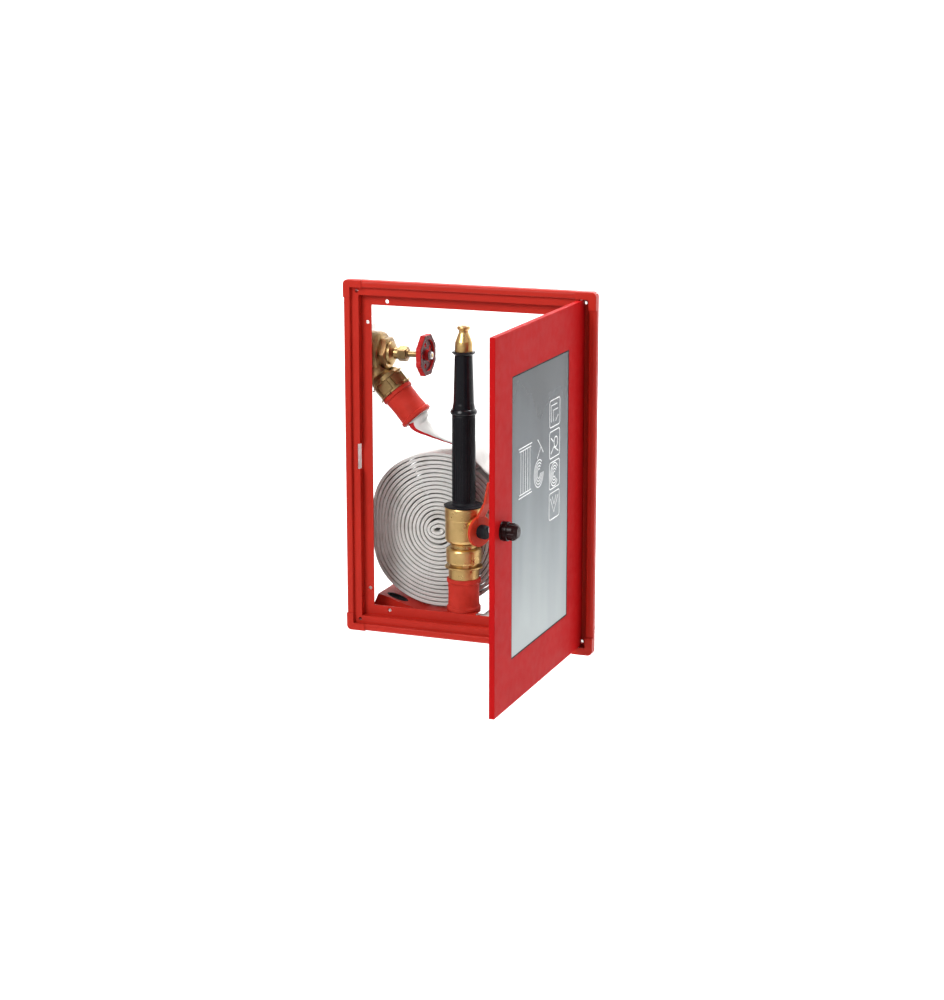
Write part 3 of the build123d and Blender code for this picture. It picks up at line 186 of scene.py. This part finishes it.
def brass(name, bright, shade, rough, stain):
    """Cast and turned brass: cloudy patina, fine sand-cast grain and uneven polish."""
    m = Nodes(name)
    cloud = m.noise(24.0, 5.0, 0.55)
    middle = tuple((a + b) / 2 for a, b in zip(bright, shade))
    base = m.ramp(cloud, [(0.30, shade), (0.50, middle), (0.72, bright)])
    spots = m.map(m.noise(210.0, 3.0), 0.60, 0.78, 0.0, stain)
    m.link(m.mix(spots, base, tuple(c * 0.45 for c in shade)), m.shader.inputs["Base Color"])
    m.link(m.map(m.noise(80.0, 5.0), 0.3, 0.75, rough - 0.08, rough + 0.14), m.shader.inputs["Roughness"])
    m.bump(m.noise(1300.0, 3.0), 0.35, 0.00025)
    m.set(Metallic=1.0)
    return m.material


def plastic(name, colour, rough, grain=0.2, shine=0.5):
    """Moulded plastic with a fine surface grain and faint handling marks."""
    m = Nodes(name)
    light = tuple(c * 1.3 + 0.001 for c in colour)
    m.link(m.ramp(m.noise(22.0, 4.0), [(0.35, colour), (0.75, light)]), m.shader.inputs["Base Color"])
    m.link(m.map(m.noise(90.0, 5.0), 0.3, 0.75, rough - 0.04, rough + 0.08), m.shader.inputs["Roughness"])
    m.bump(m.noise(1500.0, 2.0), grain, 0.0002)
    m.set(Specular_IOR_Level=shine)
    return m.material


def metal(name, colour, rough):
    """Plated or drawn metal with fine lengthwise streaks."""
    m = Nodes(name)
    stretch = m.add("ShaderNodeMapping")
    stretch.inputs["Scale"].default_value = (1.0, 1.0, 0.14)
    m.link(m.place(), stretch.inputs["Vector"])
    lines = m.noise(420.0, 4.0, vector=stretch.outputs["Vector"])
    dark = tuple(c * 0.8 for c in colour)
    m.link(m.ramp(lines, [(0.3, dark), (0.7, colour)]), m.shader.inputs["Base Color"])
    m.link(m.map(lines, 0.3, 0.7, rough, rough + 0.15), m.shader.inputs["Roughness"])
    m.bump(lines, 0.08, 0.0002)
    m.set(Metallic=1.0)
    return m.material


def rubber(name, colour, rough):
    """Moulded rubber: bloom, soft dents and a fine skin."""
    m = Nodes(name)
    dark = tuple(c * 0.8 for c in colour)
    light = tuple(min(1, c * 1.12 + 0.01) for c in colour)
    m.link(m.ramp(m.noise(26.0, 5.0), [(0.3, dark), (0.7, light)]), m.shader.inputs["Base Color"])
    m.link(m.map(m.noise(120.0, 4.0), 0.3, 0.7, rough - 0.06, rough + 0.12), m.shader.inputs["Roughness"])
    skin = m.math("MULTIPLY", m.noise(900.0, 2.0), 0.25)
    m.bump(m.math("ADD", m.noise(55.0, 3.0), skin), 0.35, 0.0009)
    m.set(Specular_IOR_Level=0.12)
    return m.material


def woven(name, thread, soil):
    """Circular-woven hose jacket: ribs along the hose crossed by weft, soiled unevenly, with painted shade
    darkening the hollows between threads.
    """
    warp, weft = 0.0021, 0.0017
    light = tuple(min(1, c * 1.06) for c in thread)
    m = Nodes(name)
    uv = m.add("ShaderNodeUVMap")
    split = m.add("ShaderNodeSeparateXYZ")
    m.link(uv.outputs["UV"], split.inputs["Vector"])
    turn = 2 * math.pi
    along = m.math("SINE", m.math("MULTIPLY", split.outputs["X"], turn / weft))
    across = m.math("SINE", m.math("MULTIPLY", split.outputs["Y"], turn / warp))
    weave = m.math("MULTIPLY_ADD", m.math("MULTIPLY", along, across), 0.5)
    base = m.ramp(m.noise(30.0, 6.0, 0.62), [(0.20, soil), (0.46, thread), (0.85, light)])
    # painted shade: the hollows between the threads are darkened towards half the soil colour
    weave_hollow_shade = m.map(weave, -0.5, 0.2, 0.30, 0.0)
    m.link(m.mix(weave_hollow_shade, base, tuple(c * 0.5 for c in soil)), m.shader.inputs["Base Color"])
    m.set(Roughness=0.85, Specular_IOR_Level=0.2)
    m.bump(m.math("ADD", weave, m.math("MULTIPLY", m.noise(160.0, 3.0), 0.8)), 0.5, 0.0005)
    return m.material


def pane_painted_reflection():
    """Clear plastic with a painted reflection of a pale room: base colour darker at the top, paler below,
    with faint streaks in it.
    """
    m = Nodes("pane_painted_reflection")
    split = m.add("ShaderNodeSeparateXYZ")
    m.link(m.place(), split.inputs["Vector"])
    height = m.map(split.outputs["Z"], PANE_LOW.z, PANE_HIGH.z, 0.0, 1.0)
    stretch = m.add("ShaderNodeMapping")
    stretch.inputs["Scale"].default_value = (1.0, 1.0, 0.16)
    stretch.inputs["Rotation"].default_value = (0.25, 0.0, 0.0)
    m.link(m.place(), stretch.inputs["Vector"])
    streaks = m.noise(11.0, 2.0, vector=stretch.outputs["Vector"])
    # painted reflection: the base colour runs from pale grey at the bottom to near black at the top,
    # streaked
    painted_reflection_tone = m.ramp(m.math("ADD", height, m.map(streaks, 0.3, 0.7, -0.10, 0.10)),
                  [(0.0, (0.42, 0.465, 0.47)), (0.35, (0.25, 0.285, 0.30)), (0.7, (0.10, 0.118, 0.132)),
                   (1.0, (0.040, 0.047, 0.055))])
    m.link(painted_reflection_tone, m.shader.inputs["Base Color"])
    m.set(Roughness=0.12, Alpha=0.92, IOR=1.49, Specular_IOR_Level=0.10)
    m.bump(m.noise(14.0, 1.0), 0.03, 0.001)
    return m.material


def wheel_enamel_painted_shade():
    """Red enamel with lighter pink flecks: bright red rim, and painted shade making the flat outer face
    dark maroon.
    """
    m = Nodes("wheel_enamel_painted_shade")
    normal = m.add("ShaderNodeNewGeometry").outputs["True Normal"]
    split = m.add("ShaderNodeSeparateXYZ")
    m.link(normal, split.inputs["Vector"])
    # painted shade: faces turned towards +X get a dark maroon base colour instead of the rim's bright red
    face = m.map(split.outputs["X"], 0.75, 0.98, 0.0, 1.0)
    base = m.mix(face, (0.44, 0.022, 0.022), (0.085, 0.007, 0.009))
    # lighter pink flecks scattered over the red base colour
    pink_fleck_mask = m.map(m.noise(150.0, 6.0, 0.7), 0.62, 0.74, 0.0, 0.8)
    m.link(m.mix(pink_fleck_mask, base, (0.50, 0.12, 0.10)), m.shader.inputs["Base Color"])
    m.link(m.map(m.noise(70.0, 4.0), 0.3, 0.7, 0.22, 0.4), m.shader.inputs["Roughness"])
    m.bump(m.noise(260.0, 3.0), 0.3, 0.0006)
    m.set(Specular_IOR_Level=0.06)
    return m.material


M = {
    "frame_red": powder_coat("frame_red_coat", (0.44, 0.019, 0.010), shine=0.16),
    "door_red": powder_coat("door_red_coat", (0.44, 0.007, 0.008), rough=0.5, peel=0.12, shine=0.03),
    "liner_white": powder_coat("liner_white_coat", (0.86, 0.86, 0.85), rough=0.5),
    "zinc_steel": metal("zinc_steel_plate", (0.62, 0.63, 0.65), 0.3),
    "valve_brass": brass("valve_brass_cast", (0.50, 0.34, 0.15), (0.17, 0.105, 0.05), 0.36, stain=0.5),
    "nozzle_brass": brass("nozzle_brass_cast", (0.72, 0.49, 0.21), (0.50, 0.32, 0.12), 0.32, stain=0.08),
    "wheel_red": wheel_enamel_painted_shade(),
    "lever_red": powder_coat("lever_red_coat", (0.50, 0.036, 0.014), rough=0.45, shine=0.15),
    "hose_canvas": woven("hose_canvas_weave", (0.61, 0.605, 0.585), (0.44, 0.425, 0.39)),
    "sleeve_rubber": rubber("sleeve_rubber_red", (0.45, 0.022, 0.011), 0.5),
    "seal_rubber": rubber("seal_rubber_black", (0.012, 0.012, 0.014), 0.6),
    "seat_plastic": plastic("seat_plastic_white", (0.75, 0.75, 0.73), 0.4),
    "grip_plastic": plastic("grip_plastic_black", (0.006, 0.006, 0.008), 0.42, grain=0.3, shine=0.16),
    "barrel_plastic": plastic("barrel_plastic_black", (0.004, 0.004, 0.006), 0.20, grain=0.05, shine=0.3),
    "knob_plastic": plastic("knob_plastic_maroon", (0.014, 0.003, 0.003), 0.25, grain=0.1, shine=0.12),
    "chrome_steel": metal("chrome_steel_polish", (0.80, 0.80, 0.82), 0.08),
    "tube_aluminium": metal("tube_aluminium_drawn", (0.75, 0.75, 0.76), 0.28),
    "clear_pane": pane_painted_reflection(),
}
RED_EDGE_BAND = woven("hose_red_weave", (0.42, 0.010, 0.012), (0.22, 0.006, 0.008))
PRINT = plastic("window_print_white", (0.84, 0.85, 0.85), 0.6, shine=0.2)

for part in frame["record"]["subparts"]:
    node = NODES[part["node"]]
    node.data.materials.clear()
    node.data.materials.append(M[part["material_slot"]])
    for polygon in node.data.polygons:
        polygon.material_index = 0


# ================================================================ mesh helpers
def wave(value, seed):
    """Smooth repeatable wobble between about -1 and 1."""
    return noise.noise(Vector((value, seed * 3.17, seed * 1.71))) * 1.6


def new_piece(name, verts, faces, material, body, uvs=None):
    """Mesh object with smooth shading, riding on a body."""
    mesh = bpy.data.meshes.new(name)
    mesh.from_pydata(verts, [], faces)
    shell = bmesh.new()
    shell.from_mesh(mesh)
    bmesh.ops.recalc_face_normals(shell, faces=shell.faces)
    shell.to_mesh(mesh)
    shell.free()
    if uvs:
        layer = mesh.uv_layers.new(name="UVMap")
        for loop in mesh.loops:
            layer.data[loop.index].uv = uvs[loop.vertex_index]
    mesh.polygons.foreach_set("use_smooth", [True] * len(mesh.polygons))
    mesh.materials.append(material)
    mesh.update()
    piece = bpy.data.objects.new(name, mesh)
    scene.collection.objects.link(piece)
    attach(piece, body)
    return piece


def tube_mesh(rings):
    """Vertices, faces and uvs of a closed body through rings of equal length, capped at both ends."""
    count = len(rings[0])
    verts = [tuple(p) for ring in rings for p in ring]
    faces = []
    for i in range(len(rings) - 1):
        for j in range(count):
            k = (j + 1) % count
            faces.append((i * count + j, i * count + k, (i + 1) * count + k, (i + 1) * count + j))
    faces.append(tuple(reversed(range(count))))
    faces.append(tuple((len(rings) - 1) * count + j for j in range(count)))
    uvs = []
    length = 0.0
    for i, ring in enumerate(rings):
        if i:
            length += (sum(ring, Vector()) / count - sum(rings[i - 1], Vector()) / count).length
        girth = 0.0
        for j, point in enumerate(ring):
            if j:
                girth += (point - ring[j - 1]).length
            uvs.append((length, girth))
    return verts, faces, uvs


# ================================================================ hose roll
def press(angle, radius):
    """How much the roll is pressed in, in this direction and at this radius."""
    left = LEFT_PRESS * max(0.0, math.cos(angle - math.pi)) ** 10
    right = RIGHT_PRESS * max(0.0, math.cos(angle - math.radians(8.0))) ** 8
    reach = min(1.0, max(0.0, (radius - 0.07) / 0.07))
    return (left + right) * reach * radius / COIL_R


def hose_profile(half_w, half_t, groove):
    """Section of the folded hose: (thickness, width) points with beaded edges and a grooved fold line."""
    points = []
    for side in (-1, 1):
        edge = [(-1.0, 0.93), (-0.90, 0.968), (-0.55, 1.0), (-0.18, 0.988), (0.0, 1.0 - groove),
                (0.18, 0.988), (0.55, 1.0), (0.90, 0.968), (1.0, 0.93)]
        for n, w in edge if side > 0 else reversed(edge):
            points.append((n * half_t, side * w * half_w))
        flat = [(0.94, 0.85), (0.93, 0.4), (0.93, 0.0), (0.93, -0.4), (0.94, -0.85)]
        for n, w in flat:
            points.append((n * half_t * side, w * half_w * side))
    return points


def roll():
    """The rolled hose as one long spiral of folded double layer."""
    rings = []
    half_w = (COIL_Y1 - COIL_Y0) / 2 - 0.0015
    total = TURNS * STEPS
    inner = COIL_R - TURNS * PITCH - LAYER
    for i in range(total + 1):
        turn = i / STEPS
        angle = -turn * 2 * math.pi + ROLL_START
        radius = inner + turn * PITCH + 0.0004
        loose = 0.0005 * wave(turn * 3.1, 2.0) + 0.0003 * wave(turn * 11.0, 5.0)
        radius += loose * min(1.0, (TURNS - turn) * 2)
        radius -= press(angle, radius)
        flatten = max(0.0, 1 - turn / 3.0)
        x = radius * math.cos(angle) * (1 + 0.28 * flatten)
        z = radius * math.sin(angle) * (1 - 0.42 * flatten * (1 - turn / TURNS))
        out = Vector((math.cos(angle), 0, math.sin(angle)))
        centre = Vector((COIL_X + x, COIL_MID_Y, COIL_Z + z))
        proud = 0.0007 * wave(turn * 1.7, 9.0) + 0.0005 * wave(turn * 7.0, 1.0)
        bead = 1.0 + 0.06 * wave(turn * 19.0, 4.0)
        ring = []
        for n, w in hose_profile(half_w, LAYER * bead, 0.022):
            ring.append(centre + out * n + Vector((0, w + proud, 0)))
        rings.append(ring)
    verts, faces, uvs = tube_mesh(rings)
    piece = new_piece("hose_roll_turns", verts, faces, M["hose_canvas"], "cabinet", uvs)
    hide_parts("hose_coil")


# ================================================================ hose runs
def smooth_path(points, steps):
    """Catmull-Rom interpolation of tuples of numbers, evenly stepped between each pair."""
    padded = [points[0]] + points + [points[-1]]
    result = []
    for k in range(1, len(padded) - 2):
        for s in range(steps):
            t = s / steps
            row = []
            for a, b, c, d in zip(*padded[k - 1:k + 3]):
                row.append(0.5 * (2 * b + (c - a) * t + (2 * a - 5 * b + 4 * c - d) * t * t
                                  + (3 * b - a - 3 * c + d) * t ** 3))
            result.append(row)
    result.append(list(points[-1]))
    return result


def flat_hose(name, stations, node, fold_seed):
    """Lay-flat hose through stations (x, y, z, tilt of its width, half width, half thickness)."""
    path = smooth_path(stations, RUN_STEPS)
    rings = []
    for i, (x, y, z, tilt, half_w, half_t) in enumerate(path):
        before = Vector(path[max(0, i - 1)][:3])
        after = Vector(path[min(len(path) - 1, i + 1)][:3])
        along = (after - before).normalized()
        across = Vector((tilt, 1.0, 0.0))
        across = (across - along * across.dot(along)).normalized()
        up = along.cross(across).normalized()
        ring = []
        flatness = 1 - half_t / max(half_w, 1e-6)
        for k in range(RING):
            a = 2 * math.pi * k / RING
            c, s = math.cos(a), math.sin(a)
            w = half_w * math.copysign(abs(c) ** (1 - 0.35 * flatness), c)
            h = half_t * math.copysign(abs(s) ** (1 - 0.45 * flatness), s)
            crease = 0.0010 * flatness * wave(i * 0.22 + w * 40.0, fold_seed)
            sag = -0.0022 * flatness * (1 - (w / half_w) ** 2) * wave(i * 0.11, fold_seed + 2)
            ring.append(Vector((x, y, z)) + across * w + up * (h + crease + sag))
        rings.append(ring)
    verts, faces, uvs = tube_mesh(rings)
    piece = new_piece(name, verts, faces, M["hose_canvas"], "cabinet", uvs)
    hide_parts(node)
    return piece


def arc_stations(angles, radius, half_w, half_t):
    """Stations that lie on the roll."""
    stations = []
    for degrees in angles:
        a = math.radians(degrees)
        x, z = COIL_X + radius * math.cos(a), COIL_Z + radius * math.sin(a)
        stations.append((x, COIL_MID_Y, z, 0.0, half_w, half_t))
    return stations


def inlet_run():
    """Hose that drops from the valve's sleeve onto the roll; a red band runs along the lower front quarter
    of its section.
    """
    x, y, z = SLEEVE_EXIT
    stations = [
        (x - 0.008, y, z + 0.009, 0.0, 0.0232, 0.0218),
        (x, y, z, 0.0, 0.0236, 0.0205),
        (-0.1215, 0.0630, 0.0590, 0.0, 0.0275, 0.0150),
        (-0.1110, 0.0700, 0.0485, -0.2, 0.0315, 0.0090),
        (-0.0950, 0.0795, 0.0370, -0.35, 0.0345, 0.0055),
        (-0.0760, 0.0900, 0.0275, -0.35, 0.0360, 0.0040),
        (-0.0540, 0.1000, 0.0176, -0.2, 0.0360, 0.0036),
        (-0.0300, 0.1070, 0.0060, 0.0, 0.0358, 0.0036),
    ]
    stations += arc_stations((59, 48, 37, 26), COIL_R + 0.0046, 0.0354, 0.0034)
    piece = flat_hose("hose_inlet_band", stations, "hose_inlet_run", 3.0)
    piece.data.materials.append(RED_EDGE_BAND)
    for polygon in piece.data.polygons:
        section, place = divmod(polygon.index, RING)
        if place in RED_EDGE_POINTS and section in RED_EDGE_SECTIONS:
            polygon.material_index = 1


def outlet_run():
    """Hose that leaves the branch pipe's sleeve, folds under it and runs up onto the roll's right side."""
    low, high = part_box("nozzle_sleeve")
    x, y, z = (low.x + high.x) / 2, (low.y + high.y) / 2, low.z
    stations = [
        (x, y, z + 0.006, 0.0, 0.0232, 0.0218),
        (x, y, z - 0.001, 0.0, 0.0236, 0.0205),
        (x + 0.0015, y + 0.001, z - 0.0090, 0.0, 0.0245, 0.0170),
        (x + 0.0090, y + 0.004, z - 0.0185, 0.0, 0.0270, 0.0095),
        (x + 0.0250, y + 0.009, z - 0.0205, 0.0, 0.0310, 0.0060),
        (0.0160, 0.0540, -0.2905, -0.2, 0.0340, 0.0048),
        (0.0310, 0.0660, -0.2755, -0.2, 0.0352, 0.0040),
        (0.0395, 0.0810, -0.2560, -0.2, 0.0356, 0.0036),
        (0.0455, 0.0960, -0.2340, -0.1, 0.0356, 0.0035),
        (0.0505, 0.1065, -0.2110, 0.0, 0.0356, 0.0035),
        (0.0546, 0.1100, -0.1880, 0.0, 0.0356, 0.0034),
    ]
    flat_hose("hose_outlet_band", stations, "hose_outlet_run", 8.0)


roll()
inlet_run()
outlet_run()


# ================================================================ window print
def outline_loop(y, z, half_w, half_h, radius, line):
    """Rounded rectangular outline lying on the pane, as a flat closed band."""
    outer, inner = [], []
    for k in range(4):
        cy = (half_w - radius) * (1 if k in (0, 3) else -1)
        cz = (half_h - radius) * (1 if k in (0, 1) else -1)
        for s in range(5):
            a = math.radians(90 * k + 22.5 * s)
            outer.append((y + cy + radius * math.cos(a), z + cz + radius * math.sin(a)))
            inner.append((y + cy + (radius - line) * math.cos(a), z + cz + (radius - line) * math.sin(a)))
    return outer, inner


def print_band(name, bands):
    """Flat printed bands a hair in front of the pane, with a little thickness."""
    verts, faces = [], []
    front = PANE_HIGH.x + 0.00005
    back = PANE_HIGH.x - 0.0002
    for outer, inner, closed in bands:
        base = len(verts)
        n = len(outer)
        for x in (front, back):
            verts += [(x, a, b) for a, b in outer]
            verts += [(x, a, b) for a, b in inner]
        last = n if closed else n - 1
        for i in range(last):
            j = (i + 1) % n
            faces.append((base + i, base + j, base + n + j, base + n + i))
            faces.append((base + 2 * n + i, base + 3 * n + i, base + 3 * n + j, base + 2 * n + j))
            faces.append((base + i, base + 2 * n + i, base + 2 * n + j, base + j))
            faces.append((base + n + i, base + n + j, base + 3 * n + j, base + 3 * n + i))
        if not closed:
            for i in (0, n - 1):
                faces.append((base + i, base + n + i, base + 3 * n + i, base + 2 * n + i))
    piece = new_piece(name, verts, faces, PRINT, "door")
    piece.data.polygons.foreach_set("use_smooth", [False] * len(piece.data.polygons))


def stroke(points, line):
    """Open line of even width through points."""
    left, right = [], []
    for i, (a, b) in enumerate(points):
        pa = points[max(0, i - 1)]
        pb = points[min(len(points) - 1, i + 1)]
        d = Vector((pb[0] - pa[0], pb[1] - pa[1])).normalized() * line / 2
        left.append((a - d.y, b + d.x))
        right.append((a + d.y, b - d.x))
    return left, right, False


def ring_stroke(y, z, radius, line, share=1.0, start=0.0):
    """Part of a circle as a stroke."""
    count = max(6, int(24 * share))
    points = [(y + radius * math.cos(start + 2 * math.pi * share * k / count),
               z + radius * math.sin(start + 2 * math.pi * share * k / count)) for k in range(count + 1)]
    return stroke(points, line)


def window_print():
    """A column of four plain framed signs, and a line drawing of a roll and a bracket; no lettering."""
    bands = []
    line = PRINT_LINE
    y, z = SIGN_Y, SIGN_TOP

    def draw(*points, width=line):
        bands.append(stroke([(y + a, z + b) for a, b in points], width))

    for k in range(4):
        z = SIGN_TOP - k * SIGN_STEP
        frame_loop = outline_loop(y, z, SIGN_HALF_WIDTH, SIGN_HALF_HEIGHT, SIGN_CORNER, line)
        bands.append((*frame_loop, True))
        if k == 0:
            draw((-0.018, -0.014), (-0.018, 0.014), (0.012, 0.014))
            draw((-0.008, -0.014), (-0.008, 0.005), (0.016, 0.005))
            draw((0.004, -0.015), (0.018, -0.006))
        elif k == 1:
            bands.append(ring_stroke(y + 0.006, z + 0.002, 0.009, line))
            draw((-0.019, -0.015), (-0.004, -0.005), (0.019, -0.016))
            draw((-0.019, 0.012), (-0.006, 0.004))
        elif k == 2:
            for r in (0.005, 0.010, 0.015, 0.020):
                bands.append(ring_stroke(y - 0.001, z, r, line, 0.8, 0.6))
        else:
            draw((-0.019, 0.014), (-0.002, -0.012), (0.019, 0.014))
            draw((-0.010, 0.016), (-0.001, 0.001), (0.009, 0.016))
    y, z = DRAWING_Y, DRAWING_Z
    for side in (-1, 1):
        draw((-0.030, side * 0.036), (0.026, side * 0.036))
        draw((-0.034, side * 0.041), (0.030, side * 0.041))
    for k in range(5):
        x = -0.024 + k * 0.011
        draw((x, -0.036), (x, 0.036), width=line * 0.8)
    for r in (0.008, 0.013, 0.018, 0.023):
        bands.append(ring_stroke(y + 0.064, z - 0.018, r, line, 0.85, 0.9))
    draw((0.056, 0.008), (0.074, 0.026), (0.058, 0.040))
    draw((0.074, 0.026), (0.086, 0.014))
    print_band("window_signs", bands)


window_print()


# ================================================================ stage, light and camera
def stage():
    """Pale floor that curves up into a pale backdrop well behind the object."""
    verts, faces = [], []
    front, bend, floor, radius, top, half_width = -6.0, 1.6, -1.30, 1.2, 5.0, 7.0
    profile = [(front, floor), (bend, floor)]
    for k in range(1, 9):
        a = math.radians(90 * k / 8)
        profile.append((bend + radius * math.sin(a), floor + radius * (1 - math.cos(a))))
    profile.append((bend + radius, top))
    for y, z in profile:
        verts += [(-half_width, y, z), (half_width, y, z)]
    for k in range(len(profile) - 1):
        faces.append((2 * k, 2 * k + 1, 2 * k + 3, 2 * k + 2))
    mesh = bpy.data.meshes.new("studio_sweep")
    mesh.from_pydata(verts, [], faces)
    mesh.polygons.foreach_set("use_smooth", [True] * len(mesh.polygons))
    m = Nodes("studio_paper")
    m.set(Base_Color=(0.95, 0.95, 0.95, 1.0), Roughness=0.9)
    m.shader.inputs["Specular IOR Level"].default_value = 0.1
    mesh.materials.append(m.material)
    sweep = bpy.data.objects.new("studio_sweep", mesh)
    scene.collection.objects.link(sweep)


def area(name, place, target, size, power):
    """Soft rectangular lamp aimed at a point."""
    lamp = bpy.data.lights.new(name, "AREA")
    lamp.shape = "RECTANGLE"
    lamp.size, lamp.size_y = size
    lamp.energy = power
    holder = bpy.data.objects.new(name, lamp)
    holder.location = place
    holder.rotation_euler = (Vector(target) - Vector(place)).to_track_quat("-Z", "Y").to_euler()
    scene.collection.objects.link(holder)


stage()
world = bpy.data.worlds.new("studio_world")
world.use_nodes = True
world.node_tree.nodes["Background"].inputs["Color"].default_value = (1.0, 1.0, 1.0, 1.0)
world.node_tree.nodes["Background"].inputs["Strength"].default_value = 0.45
scene.world = world
area("key_lamp", (-1.3, -3.4, 2.4), (0.0, 0.0, 0.0), (1.7, 1.7), 135.0)
area("side_lamp", (3.2, -1.8, 0.9), (0.2, -0.2, 0.0), (1.4, 2.2), 20.0)
area("back_lamp", (0.0, 0.9, 2.6), (0.0, 2.8, 0.5), (3.0, 1.0), 200.0)

camera_data = bpy.data.cameras.new("camera")
camera_data.lens = 82.73
camera_data.sensor_width = 36.0
camera = bpy.data.objects.new("camera", camera_data)
camera.location = (1.437, -3.744, 0.875)
camera.rotation_euler = Euler((math.radians(76.837), 0.0, math.radians(20.942)))
scene.collection.objects.link(camera)
scene.camera = camera
